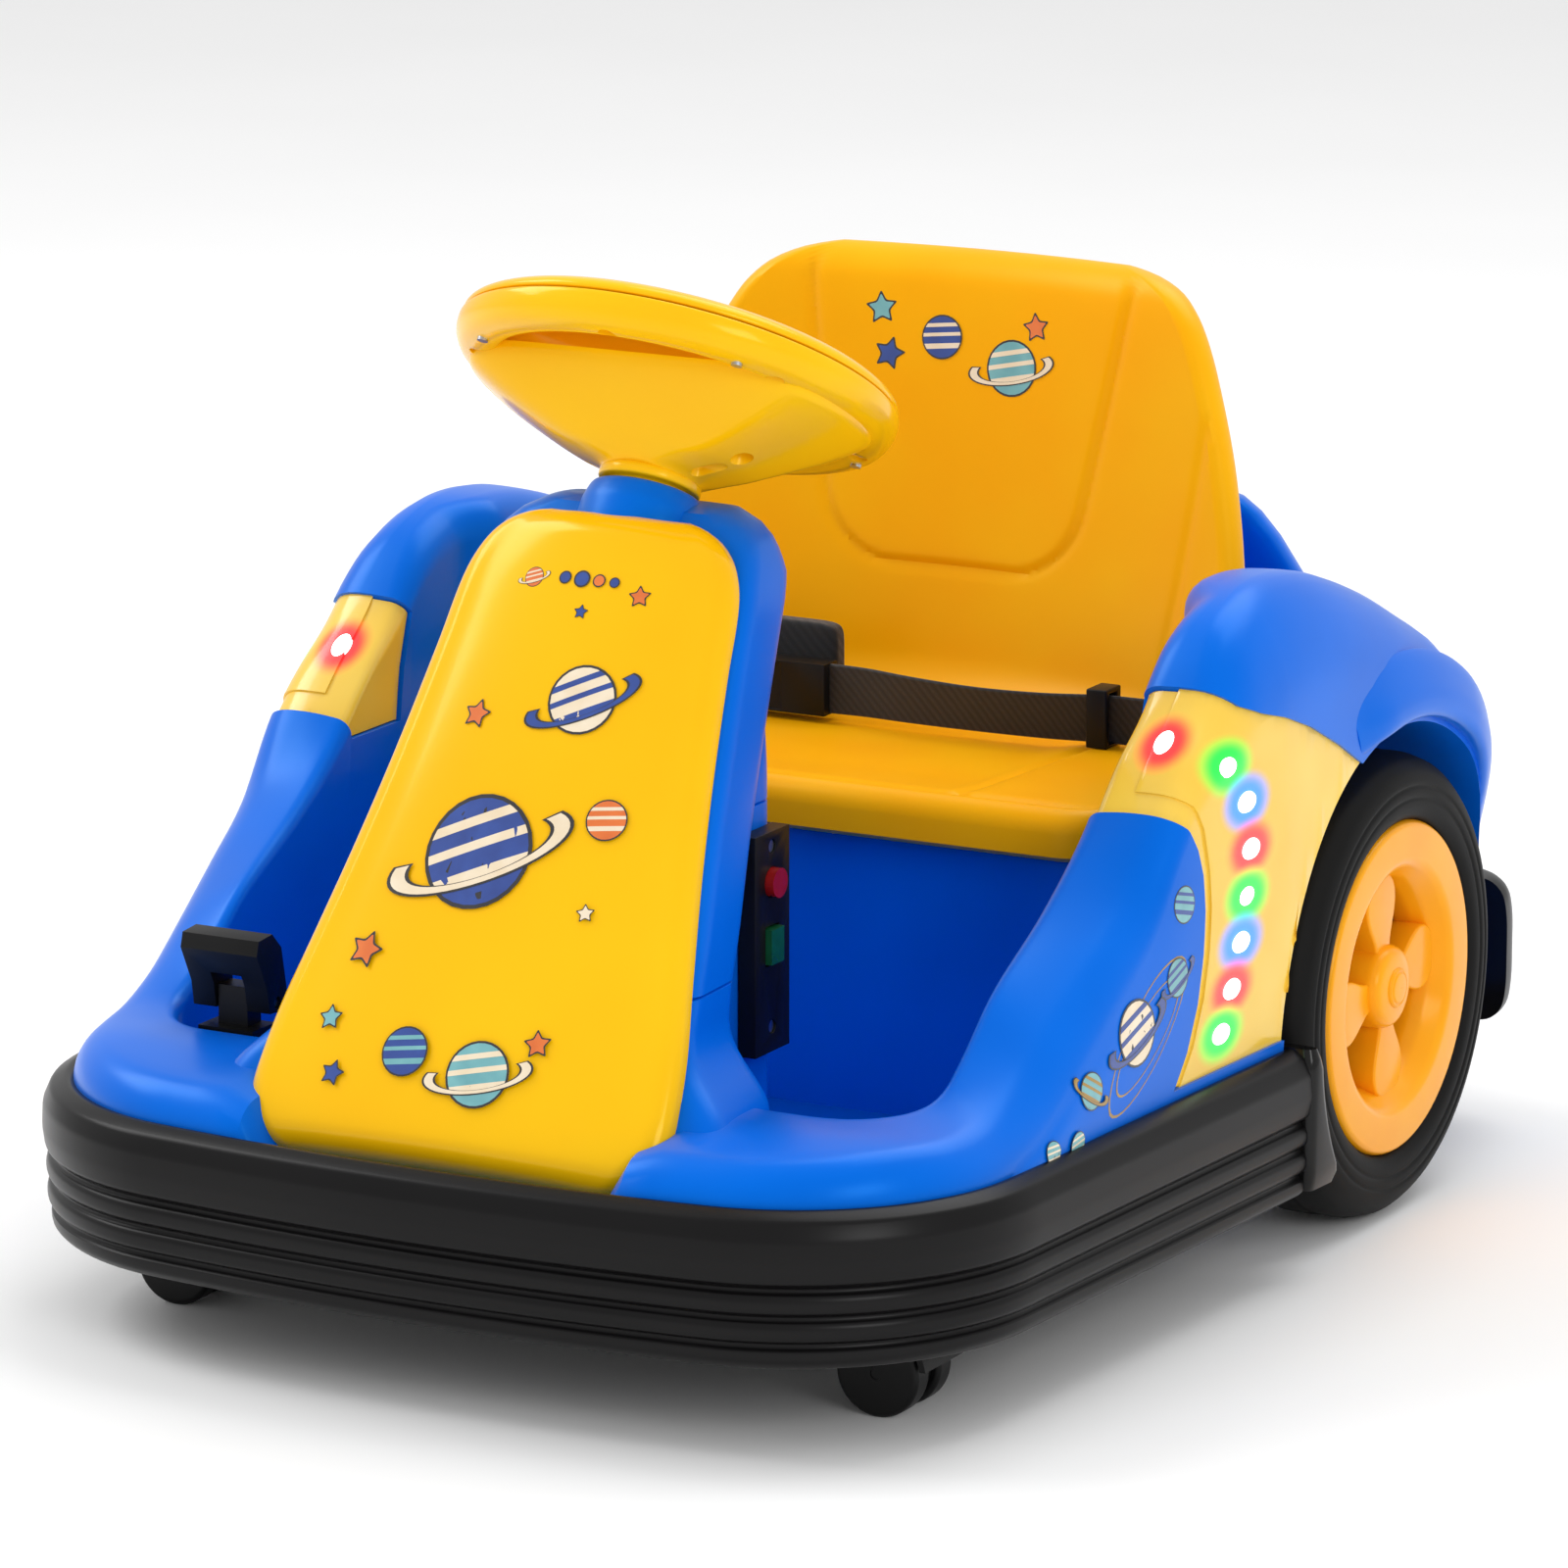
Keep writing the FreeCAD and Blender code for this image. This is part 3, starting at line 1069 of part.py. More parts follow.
def electrics():
    """Battery, control box, speaker and charging socket inside the seat base and the tower."""
    floor = "floor_low + floor_thick + seat_gap"
    keep(box("cell_block", ("-50", "20", floor), ("100", "48", "94")), "battery")
    keep(box("controller", ("-42", "210", floor), ("84", "60", "32")), "control_box")
    basket = doc.addObject("Part::Cone", "speaker_cone")
    bind(basket, Radius1="28", Radius2="16", Height="16")
    place(basket, "0", "column_back - shell_wall - seat_gap", "150", Rotation(Vector(1, 0, 0), 90))
    keep(basket, "speaker")
    jack = cylinder("jack", ("socket_x", "cockpit_rear - 2", "socket_z"), "jack_radius + 3", "2", ALONG_Y)
    jack_body = cylinder("jack_body", ("socket_x", "cockpit_rear", "socket_z"), "jack_radius", "18", ALONG_Y)
    jack_hole = cylinder("jack_hole", ("socket_x", "cockpit_rear - 3", "socket_z"), "plug_radius", "12", ALONG_Y)
    keep(cut("charging_socket", fuse("jack_outer", jack, jack_body), jack_hole), "charging_socket")


def pierce_body_for_socket():
    """Round hole in the seat base's front wall for the charging socket."""
    shell = next(item for item in subparts if item.Label == "body_shell")
    mouth = Vector(size("socket_x"), size("cockpit_rear") - 10, size("socket_z"))
    hole = Part.makeCylinder(size("jack_radius") + size("seat_gap"), 20, mouth, Vector(0, 1, 0))
    shell.Shape = shell.Shape.cut(hole)


# ---------------------------------------------------------------- build and write

def build():
    chassis_base()
    front_bumper()
    bumper_end_clips()
    rear_bumper()
    body_shell()
    light_panels()
    lamps()
    hood_panel()
    tower_shell()
    steering_collar()
    steering_wheel()
    steering_column()
    for side, name in ((1, "left"), (-1, "right")):
        drive_train(side, name)
        tyre(side, name)
        rim(side, name)
    axle_parts()
    casters()
    seat()
    rear_shell()
    control_panel()
    pedal_parts()
    lap_belt()
    electrics()
    pierce_body_for_socket()
    doc.recompute()


def check():
    """Stop before writing if any object failed or any sub-part has no valid shape."""
    failed = [item.Name for item in doc.Objects if {"Invalid", "Error"} & set(item.State)]
    for item in subparts:
        if item.Shape.isNull() or not item.Shape.isValid() or not item.Shape.Solids:
            failed.append(item.Label)
    if failed:
        raise RuntimeError("these objects failed: " + ", ".join(failed))


def write():
    os.makedirs("parts", exist_ok=True)
    for item in subparts:
        item.Shape.exportStep(f"parts/{item.Label}.step")


build()
check()
write()
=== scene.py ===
import math

import bpy
from mathutils import Matrix, Vector


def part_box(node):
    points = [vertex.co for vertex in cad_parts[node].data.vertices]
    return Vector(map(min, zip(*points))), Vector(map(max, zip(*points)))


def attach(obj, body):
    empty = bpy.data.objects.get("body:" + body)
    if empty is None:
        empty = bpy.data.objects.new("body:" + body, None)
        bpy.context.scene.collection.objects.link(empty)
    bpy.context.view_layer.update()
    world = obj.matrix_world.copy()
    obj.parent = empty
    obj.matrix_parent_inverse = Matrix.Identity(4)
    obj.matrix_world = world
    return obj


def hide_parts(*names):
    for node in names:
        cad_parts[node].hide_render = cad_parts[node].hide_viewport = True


# Battery ride-on bumper car for a small child: moulded body, hood, bucket seat, steering wheel, bumpers,
# wheels, side lights and lap belt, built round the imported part. Shapes are worked out in millimetres and
# turned to metres as each mesh is made. The front faces -Y and the driver's left is +X.

MM = 0.001

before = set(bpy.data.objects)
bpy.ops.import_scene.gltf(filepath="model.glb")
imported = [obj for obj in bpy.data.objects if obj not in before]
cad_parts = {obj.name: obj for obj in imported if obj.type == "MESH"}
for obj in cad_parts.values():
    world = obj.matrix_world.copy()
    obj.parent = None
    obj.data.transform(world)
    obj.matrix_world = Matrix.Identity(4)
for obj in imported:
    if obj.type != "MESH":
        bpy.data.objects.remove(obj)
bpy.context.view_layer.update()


def reach(node):
    """A CAD node's lowest and highest corner, in millimetres."""
    low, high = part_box(node)
    return Vector(low) / MM, Vector(high) / MM


BUMPER_LOW, BUMPER_HIGH = reach("front_bumper")
TAIL_LOW, TAIL_HIGH = reach("rear_bumper")
TYRE_LOW, TYRE_HIGH = reach("tyre_left")
SEAT_LOW, SEAT_HIGH = reach("seat")
BODY_HIGH = reach("body_shell")[1]
AXLE = (TYRE_LOW + TYRE_HIGH) / 2
TYRE_RADIUS = TYRE_HIGH.z / 2
FLANK_END = BUMPER_HIGH.y

# Plan of the body: the bumper's front corner, the walls' inset from it, the cockpit, the wells and the tail.
CORNER = Vector((130, -225))
CORNER_RADIUS = 127
BODY_INSET = 15
COCKPIT_HALF = 200
COCKPIT_FRONT = -255
WELL_INNER = 187
ARCH_RADIUS = 131
TAIL_CORNER = 90

# The steering wheel's middle and lean, and the plane of the hood.
STEER_CENTRE = Vector((0, -102, 440))
STEER_TILT = math.radians(30)
HOOD_FOOT = Vector((0, -322, 105))
HOOD_UP = Vector((0, 0.5145, 0.8575))
HOOD_OUT = Vector((0, -0.8575, 0.5145))


# ---------------------------------------------------------------- small tools

def only(piece):
    """Selects one piece and nothing else."""
    bpy.ops.object.select_all(action="DESELECT")
    piece.select_set(True)
    bpy.context.view_layer.objects.active = piece


def edit(piece):
    """Opens a piece for shaping with all of it selected."""
    only(piece)
    bpy.ops.object.mode_set(mode="EDIT")
    bpy.ops.mesh.select_all(action="SELECT")


def leave():
    bpy.ops.object.mode_set(mode="OBJECT")


def sealed(piece, caps=True):
    """Merges doubled points, closes open ends and turns the faces outwards."""
    edit(piece)
    bpy.ops.mesh.remove_doubles(threshold=0.02 * MM)
    if caps:
        bpy.ops.mesh.fill_holes(sides=0)
    bpy.ops.mesh.normals_make_consistent(inside=False)
    leave()
    return piece


def modify(piece, kind, **settings):
    """Adds a modifier with its settings and applies it."""
    only(piece)
    made = piece.modifiers.new(kind.title(), kind)
    for name, value in settings.items():
        setattr(made, name, value)
    bpy.ops.object.modifier_apply(modifier=made.name)
    return piece


def eased(piece, width, segments=3, angle=35):
    """Rounds a piece's sharp edges."""
    return modify(piece, "BEVEL", width=width * MM, segments=segments, limit_method="ANGLE",
                  angle_limit=math.radians(angle), harden_normals=False)


def carved(piece, cutter, operation="DIFFERENCE"):
    """Cuts a piece with another, which is then thrown away."""
    modify(piece, "BOOLEAN", object=cutter, operation=operation, solver="EXACT")
    bpy.data.objects.remove(cutter)
    return piece


def added(name, operator, **settings):
    """What an operator adds, named, with nothing else selected."""
    bpy.ops.object.select_all(action="DESELECT")
    operator(**settings)
    bpy.context.object.name = name
    return bpy.context.object


def loft(name, sections):
    """A closed skin through rings of equally many points, in millimetres."""
    rows = [[*section, section[0]] for section in sections]
    across, along = len(rows[0]) - 1, len(rows) - 1
    piece = added(name, bpy.ops.mesh.primitive_grid_add, x_subdivisions=across, y_subdivisions=along, size=1)
    for vertex in piece.data.vertices:
        column, row = round((vertex.co.x + 0.5) * across), round((vertex.co.y + 0.5) * along)
        vertex.co = Vector(rows[row][column]) * MM
    return sealed(piece)


def outlined(name, points):
    """A closed flat outline, in millimetres, as one face."""
    piece = added(name, bpy.ops.mesh.primitive_circle_add, vertices=len(points), radius=MM, fill_type="NGON")
    for vertex, point in zip(piece.data.vertices, points):
        vertex.co = Vector(point) * MM
    return piece


def stood(name, points, travel):
    """An outline pushed along travel into a solid."""
    piece = outlined(name, points)
    edit(piece)
    bpy.ops.mesh.extrude_region_move(TRANSFORM_OT_translate={"value": Vector(travel) * MM})
    leave()
    return sealed(piece)


def turned(name, profile, steps=96):
    """A solid spun about Z from a closed (radius, height) outline in millimetres."""
    piece = added(name, bpy.ops.mesh.primitive_circle_add, vertices=len(profile), radius=MM,
                  fill_type="NOTHING")
    for vertex, (radius, height) in zip(piece.data.vertices, profile):
        vertex.co = Vector((radius, 0, height)) * MM
    edit(piece)
    bpy.ops.mesh.spin(steps=steps, angle=math.tau, center=(0, 0, 0), axis=(0, 0, 1))
    leave()
    return sealed(piece)


def block(name, low, high):
    """A box from corner to corner, in millimetres."""
    low, high = Vector(low), Vector(high)
    return settled(added(name, bpy.ops.mesh.primitive_cube_add, size=1, location=(low + high) / 2 * MM,
                         scale=(high - low) * MM))


def settled(piece):
    """Puts a piece's place, turn and scale into its mesh."""
    only(piece)
    bpy.ops.object.transform_apply(location=True, rotation=True, scale=True)
    return piece


def moved(piece, matrix):
    """Carries a piece to its place by a matrix in millimetres."""
    matrix = matrix.copy()
    matrix.translation *= MM
    piece.matrix_world = matrix
    return settled(piece)


def twin(piece, name, matrix):
    """A copy of a piece with its own mesh, placed by a matrix in millimetres."""
    copy = piece.copy()
    copy.data = piece.data.copy()
    copy.name = name
    bpy.context.collection.objects.link(copy)
    moved(copy, matrix)
    if matrix.determinant() < 0:
        edit(copy)
        bpy.ops.mesh.normals_make_consistent(inside=False)
        leave()
    return copy


ACROSS = Matrix.Scale(-1, 4, (1, 0, 0))


def joined(name, pieces):
    """Several pieces made one."""
    only(pieces[0])
    for piece in pieces[1:]:
        piece.select_set(True)
    bpy.ops.object.join()
    pieces[0].name = name
    return pieces[0]


def painted(piece, material):
    piece.data.materials.clear()
    piece.data.materials.append(material)


def done(piece, body, material, replaces=()):
    """Smooths a finished piece, gives it its material and lets it ride on its body."""
    only(piece)
    bpy.ops.object.shade_smooth_by_angle(angle=math.radians(32))
    painted(piece, material)
    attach(piece, body)
    if replaces:
        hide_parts(*replaces)
    return piece


def curve(table, at):
    """A smooth line through (place, value) pairs."""
    if at <= table[0][0]:
        return table[0][1]
    if at >= table[-1][0]:
        return table[-1][1]
    index = max(i for i, (place, _) in enumerate(table) if place <= at)

    def slope(i):
        before, after = table[max(i - 1, 0)], table[min(i + 1, len(table) - 1)]
        return (after[1] - before[1]) / (after[0] - before[0])

    (x0, y0), (x1, y1) = table[index], table[index + 1]
    run = x1 - x0
    t = (at - x0) / run
    return ((2 * t ** 3 - 3 * t ** 2 + 1) * y0 + (t ** 3 - 2 * t ** 2 + t) * run * slope(index)
            + (3 * t ** 2 - 2 * t ** 3) * y1 + (t ** 3 - t ** 2) * run * slope(index + 1))


def columns(table, at):
    """Each later column's value at a place, in a table whose first column is the place."""
    return [curve([(row[0], row[number]) for row in table], at) for number in range(1, len(table[0]))]


def ramp(start, end, at):
    """From 0 at start to 1 at end, gently."""
    t = min(max((at - start) / (end - start), 0), 1)
    return t * t * (3 - 2 * t)


def rounded(corners, radius, steps=4):
    """A closed outline with each corner turned into a curve that starts radius away from it."""
    made = []
    for index, corner in enumerate(corners):
        corner = Vector(corner)
        before, after = Vector(corners[index - 1]), Vector(corners[(index + 1) % len(corners)])
        start = corner + (before - corner) * min(radius / (before - corner).length, 0.45)
        end = corner + (after - corner) * min(radius / (after - corner).length, 0.45)
        for step in range(steps + 1):
            t = step / steps
            made.append(start * (1 - t) ** 2 + corner * 2 * t * (1 - t) + end * t * t)
    return made


def flowing(outline, radius, steps=4):
    """A flat outline of pairs with its corners rounded."""
    return [(a, b) for a, b, _ in rounded([(a, b, 0) for a, b in outline], radius, steps)]


def bar(radius, low, high):
    """Outline of a round bar, for turning."""
    return [(0.01, low), (radius, low), (radius, high), (0.01, high)]


def spun(name, outline, ease, steps=120):
    """A turned solid with its outline's corners rounded."""
    return turned(name, flowing(outline, ease), steps)


def level_ring(half_front, half_back, front, back, z, radius):
    """A level, round-cornered outline, wider or narrower in front than behind."""
    corners = [(-half_front, front, z), (half_front, front, z), (half_back, back, z), (-half_back, back, z)]
    return rounded(corners, radius, 6)


# ---------------------------------------------------------------- materials

def linear(text):
    """A linear colour from an sRGB hex value."""
    def channel(value):
        return value / 12.92 if value <= 0.04045 else ((value + 0.055) / 1.055) ** 2.4
    return tuple(channel(int(text[i:i + 2], 16) / 255) for i in (1, 3, 5)) + (1,)


def feed(tree, node, sockets):
    """Sets a node's sockets, or links those whose value is another node's output."""
    for name, value in sockets.items():
        if isinstance(value, bpy.types.NodeSocket):
            tree.links.new(value, node.inputs[name])
        else:
            node.inputs[name].default_value = value


def add(tree, kind, sockets, stops=(), **settings):
    """Adds a node with its sockets and settings, and its (place, colour) stops if it is a colour ramp."""
    made = tree.nodes.new(kind)
    for name, value in settings.items():
        setattr(made, name, value)
    for number, (place, colour) in enumerate(stops):
        made.color_ramp.elements[number].position = place
        made.color_ramp.elements[number].color = linear(colour)
    feed(tree, made, sockets)
    return made.outputs


def blank(name):
    """A new material with its node tree, its empty shader and the place on the piece."""
    material = bpy.data.materials.new(name)
    material.use_nodes = True
    tree = material.node_tree
    return material, tree, tree.nodes["Principled BSDF"], add(tree, "ShaderNodeTexCoord", {})["Object"]


def moulded(name, colour, deep, roughness, grain_mm, bump, coat=0.0, sheen_mm=60, spread=0.03,
            shine="#FFFFFF",
            specular=0.5):
    """Injection-moulded or blown plastic: a tone that drifts a little, uneven gloss and a fine skin grain."""
    material, tree, shader, place = blank(name)
    drift = add(tree, "ShaderNodeTexNoise", {"Vector": place, "Scale": 1 / (sheen_mm * MM),
                                             "Detail": 2.0})["Fac"]
    tone = add(tree, "ShaderNodeValToRGB", {"Fac": drift}, ((0.3, deep), (0.7, colour)))
    gloss = add(tree, "ShaderNodeMapRange", {"Value": drift, "To Min": roughness - spread,
                                             "To Max": roughness + spread})
    grain = add(tree, "ShaderNodeTexNoise", {"Vector": place, "Scale": 1 / (grain_mm * MM), "Detail": 3.0})
    relief = add(tree, "ShaderNodeBump", {"Height": grain["Fac"], "Strength": bump, "Distance": 0.2 * MM})
    feed(tree, shader, {"Base Color": tone["Color"], "Roughness": gloss["Result"], "Normal": relief["Normal"],
                        "Coat Weight": coat, "Coat Roughness": 0.08, "Specular Tint": linear(shine),
                        "Specular IOR Level": specular, "IOR": 1.49})
    return material


def metal(name, colour, deep, roughness, grain_mm):
    """Turned or drawn metal: fine lines along the work show as uneven gloss."""
    material, tree, shader, place = blank(name)
    long = add(tree, "ShaderNodeMapping", {"Vector": place, "Scale": (0.08, 1.0, 1.0)})
    lines = add(tree, "ShaderNodeTexNoise", {"Vector": long["Vector"], "Scale": 1 / (grain_mm * MM),
                                             "Detail": 3.0})["Fac"]
    tone = add(tree, "ShaderNodeValToRGB", {"Fac": lines}, ((0, deep), (1, colour)))
    gloss = add(tree, "ShaderNodeMapRange", {"Value": lines, "To Min": roughness - 0.07,
                                             "To Max": roughness + 0.1})
    relief = add(tree, "ShaderNodeBump", {"Height": lines, "Strength": 0.1, "Distance": 0.1 * MM})
    feed(tree, shader, {"Base Color": tone["Color"], "Roughness": gloss["Result"], "Normal": relief["Normal"],
                        "Metallic": 1.0})
    return material


def woven(name, colour, deep, thread_mm, roughness):
    """Woven polyester: slanting ridges with a little fuzz catch the light in rows."""
    material, tree, shader, place = blank(name)
    twill = add(tree, "ShaderNodeTexWave", {"Vector": place, "Scale": 1 / (thread_mm * MM * 6.2),
                                            "Distortion": 0.6,
                                            "Detail": 1.0}, wave_type="BANDS", bands_direction="DIAGONAL")
    fuzz = add(tree, "ShaderNodeTexNoise", {"Vector": place, "Scale": 1 / (0.9 * MM), "Detail": 3.0})
    blend = add(tree, "ShaderNodeMath", {0: twill["Fac"], 1: fuzz["Fac"]}, operation="MULTIPLY")["Value"]
    tone = add(tree, "ShaderNodeValToRGB", {"Fac": blend}, ((0, deep), (0.7, colour)))
    relief = add(tree, "ShaderNodeBump", {"Height": blend, "Strength": 0.6, "Distance": 0.4 * MM})
    feed(tree, shader, {"Base Color": tone["Color"], "Normal": relief["Normal"], "Roughness": roughness,
                        "Sheen Weight": 0.25})
    return material


# Blow-moulded polypropylene, dyed through: broad soft highlights and a faint ripple.
BLUE = moulded("blow_moulded_polypropylene_blue", "#006CE4", "#0064D8", 0.3, 3.0, 0.05, 0.0, 90, 0.03,
               "#4FB4FF",
               0.55)
# Injection-moulded ABS off a polished tool: clear, tight highlights.
YELLOW = moulded("polished_abs_yellow", "#FFC80C", "#FFBF06", 0.18, 2.0, 0.02, 0.12, 110, 0.03, "#FFE27A")
# Blow-moulded polypropylene with a satin skin: highlights are wide and pale.
AMBER = moulded("satin_polypropylene_amber", "#FFB906", "#FFAE02", 0.36, 1.2, 0.08, 0.0, 80, 0.03, "#FFD070")
# Injection-moulded polypropylene: even colour and a medium gloss.
ORANGE = moulded("moulded_polypropylene_orange", "#FFAE16", "#FCA40E", 0.25, 1.5, 0.04, 0.08, 50, 0.03,
                 "#FFD890")
# Extruded and blown polyethylene, carbon-dyed: satin black with long, soft reflections.
BUMPER = moulded("satin_polyethylene_black", "#0D0C0D", "#0A090A", 0.32, 1.0, 0.08, 0.0, 70, 0.05,
                 "#FFFFFF", 0.2)
# Injection-moulded ABS with a spark-eroded texture: dull black that keeps its edges.
FITTING = moulded("textured_abs_black", "#101010", "#0B0B0C", 0.42, 0.8, 0.16, 0.0, 30, 0.06, "#FFFFFF", 0.22)
# Moulded EVA foam: matt charcoal, its closed cells just visible as pits.
FOAM = moulded("moulded_eva_foam", "#101010", "#0C0C0C", 0.58, 1.1, 0.3, 0.0, 45, 0.06, "#FFFFFF", 0.15)
# Injection-moulded ABS off a polished tool: black with a sharp shine.
CLIP = moulded("polished_abs_black", "#0C0C0C", "#090909", 0.16, 1.2, 0.02, 0.0, 30, 0.03, "#FFFFFF", 0.3)
# Injection-moulded translucent ABS key cap: deep red.
RED = moulded("moulded_abs_red", "#A01414", "#8A0E0E", 0.25, 1.0, 0.03, 0.3, 12)
# Injection-moulded ABS rocker: dark bottle green.
GREEN = moulded("moulded_abs_green", "#0F5A34", "#0B4A2A", 0.28, 1.0, 0.03, 0.3, 12)
# Injection-moulded nylon, undyed: milky off-white with a waxy gloss.
NYLON = moulded("moulded_nylon_natural", "#E6E2D6", "#DCD6C8", 0.38, 0.9, 0.08, 0.0, 25)
# Moulded ABS battery jar: plain slate grey.
JAR = moulded("moulded_abs_slate", "#4A4D55", "#41444B", 0.42, 0.8, 0.10, 0.0, 30)
# Solder mask over fibreglass: green with a fine uneven grain.
BOARD = moulded("solder_mask_fibreglass", "#1E6B38", "#175A2E", 0.3, 0.6, 0.12, 0.2, 6)
# Zinc-plated mild steel, drawn: cool grey with faint lines.
STEEL = metal("zinc_plated_steel", "#C9CCD0", "#A9ADB2", 0.3, 0.6)
# Hobbed brass: warm yellow metal.
BRASS = metal("hobbed_brass", "#D9B766", "#B8923F", 0.28, 0.5)
# Polyester webbing in a twill weave, its threads drawn at twice their size: black with a slight sheen.
WEB = woven("polyester_webbing_black", "#242426", "#0C0C0D", 1.2, 0.68)
# Air-mesh over foam: black and soft, with no gloss.
PAD = woven("air_mesh_black", "#1B1B1D", "#09090A", 1.6, 0.85)
# Printed vinyl under a clear film: flat ink that shines as one sheet.
INKS = {ink: moulded(f"printed_vinyl_{name}", colour, deep, 0.2, 0.7, 0.02, 0.5, 14)
        for ink, name, colour, deep in (
            ("navy", "navy", "#2A4C9E", "#23408C"), ("teal", "teal", "#7DBCC0", "#66A6AE"),
            ("cream", "cream", "#F7E7CC", "#EFDAB8"), ("rust", "rust", "#EE7D33", "#DD6A26"),
            ("line", "black", "#2C2A2E", "#232126"), ("gold", "gold", "#B08A3A", "#9C7830"))}

LAMP_COLOURS = {"red": "#FF2A2A", "green": "#12E03C", "blue": "#2E7BFF"}
# Lamps down each light panel, from the lobe's top to the foot.
LAMPS = ((224, -38, 272), (247, -24, 262), (253, -9, 243), (253, -6, 220), (253, -10, 198), (253, -16, 177),
         (253, -24, 156), (253, -33, 136))
LAMP_RADIUS, HALO_RADIUS = 6.5, 17
# The halos spread further fore and aft than up and down.
HALO_SPREAD = 0.62


def diffuser(spots):
    # Injection-moulded tinted polycarbonate, lit from behind: warm yellow with a faint glow, and round each
    # lamp a coloured halo of painted lamp light in both its colour and its emission.
    material, tree, shader, place = blank("tinted_polycarbonate_yellow")
    mirror = add(tree, "ShaderNodeVectorMath", {0: place}, operation="ABSOLUTE")["Vector"]
    parts, folded = (add(tree, "ShaderNodeSeparateXYZ", {0: source}) for source in (place, mirror))
    drawn_in = add(tree, "ShaderNodeMath", {0: parts["Y"], 1: HALO_SPREAD}, operation="MULTIPLY")["Value"]
    spot_place = add(tree, "ShaderNodeCombineXYZ", {"X": folded["X"], "Y": drawn_in,
                                                    "Z": parts["Z"]})["Vector"]
    cloud = add(tree, "ShaderNodeTexNoise", {"Vector": place, "Scale": 1 / (40 * MM), "Detail": 1.0})
    skin = add(tree, "ShaderNodeValToRGB", {"Fac": cloud["Fac"]}, ((0, "#F2BE2C"), (1, "#F7D254")))["Color"]
    glow = add(tree, "ShaderNodeMix", {"Factor": 1.0, 6: skin, 7: linear("#3A3A3A")}, data_type="RGBA",
               blend_type="MULTIPLY")[2]
    for number, spot in enumerate(spots):
        colour = linear([*LAMP_COLOURS.values()][number % 3])
        far = add(tree, "ShaderNodeVectorMath", {0: spot_place, 1: (spot.x, spot.y * HALO_SPREAD, spot.z)},
                  operation="DISTANCE")["Value"]
        near = add(tree, "ShaderNodeMapRange", {"Value": far, "From Min": LAMP_RADIUS * MM,
                                                "From Max": HALO_RADIUS * MM, "To Min": 1.0, "To Max": 0.0},
                   interpolation_type="SMOOTHERSTEP")["Result"]
        # Painted light: each lamp's halo is mixed into the base colour as well as into the glow.
        skin, glow = (add(tree, "ShaderNodeMix", {"Factor": near, 6: under, 7: colour}, data_type="RGBA")[2]
                      for under in (skin, glow))
    feed(tree, shader, {"Base Color": skin, "Emission Color": glow, "Emission Strength": 0.9,
                        "Roughness": 0.22,
                        "Coat Weight": 0.3})
    return material


def lamp_lens(name, colour):
    # Moulded epoxy lamp, lit: white in the middle, coloured at its rim.
    material, tree, shader, place = blank(f"lit_epoxy_{name}")
    cloud = add(tree, "ShaderNodeTexNoise", {"Vector": place, "Scale": 1 / (4 * MM), "Detail": 1.0})
    facing = add(tree, "ShaderNodeLayerWeight", {"Blend": 0.35})["Facing"]
    edge = add(tree, "ShaderNodeMath", {0: facing, 1: cloud["Fac"]}, operation="MULTIPLY")["Value"]
    glow = add(tree, "ShaderNodeMix", {"Factor": edge, 6: linear("#FFFFFF"), 7: linear(colour)},
               data_type="RGBA")[2]
    feed(tree, shader, {"Emission Color": glow, "Base Color": glow, "Emission Strength": 2.4,
                        "Roughness": 0.15})
    return material


LENSES = [lamp_lens(name, colour) for name, colour in LAMP_COLOURS.items()]


# ---------------------------------------------------------------- plan outline

def flank_lean():
    across, along = BUMPER_HIGH.x - CORNER.x, FLANK_END - CORNER.y
    return math.acos(CORNER_RADIUS / math.hypot(across, along)) - math.atan2(along, across)


def nose_stations(bow_steps=10, corner_steps=22, flank_steps=44):
    """Stations from the nose's middle to the flank's end as (centre, direction, radius) in plan."""
    rise = CORNER.y - BUMPER_LOW.y
    bow = (rise ** 2 + CORNER.x ** 2 - CORNER_RADIUS ** 2) / (2 * (rise - CORNER_RADIUS))
    centre = Vector((0, BUMPER_LOW.y + bow))
    aim = math.atan2(CORNER.y - centre.y, CORNER.x)
    lean = flank_lean()
    made = []
    for step in range(bow_steps):
        angle = -math.pi / 2 + (aim + math.pi / 2) * step / bow_steps
        made.append((centre, Vector((math.cos(angle), math.sin(angle))), bow))
    for step in range(corner_steps):
        angle = aim + (-lean - aim) * step / corner_steps
        made.append((CORNER, Vector((math.cos(angle), math.sin(angle))), CORNER_RADIUS))
    aside = Vector((math.cos(lean), -math.sin(lean)))
    along = Vector((math.sin(lean), math.cos(lean)))
    length = (FLANK_END - CORNER.y) / math.cos(lean) + CORNER_RADIUS * math.tan(lean)
    for step in range(flank_steps + 1):
        made.append((CORNER + along * (length * step / flank_steps), aside, CORNER_RADIUS))
    return made


def both_sides(stations):
    """The same stations all the way round, from the right flank to the left."""
    right = [(Vector((-c.x, c.y)), Vector((-d.x, d.y)), r) for c, d, r in stations[:0:-1]]
    return right + stations


# ---------------------------------------------------------------- bumpers

# How far the front bumper's face stands in from its widest line, and the height.
BUMPER_FACE = ((17, 113), (12, 115), (4, 111), (0.5, 103), (0, 92), (1.2, 83), (5, 80.5), (5, 78.5),
               (2.2, 77), (1.4, 73), (2.2, 69), (5, 67.5), (5, 65.5), (2.4, 64), (1.8, 60), (2.6, 56),
               (6, 54.5), (6, 52.5), (3.6, 51), (4, 46), (8, 42), (17, 42))


def swept(stations, face):
    """A face of (inset, height) pairs carried along stations in plan."""
    return [[(*(centre + direction * (radius - inset)), height) for inset, height in face]
            for centre, direction, radius in stations]


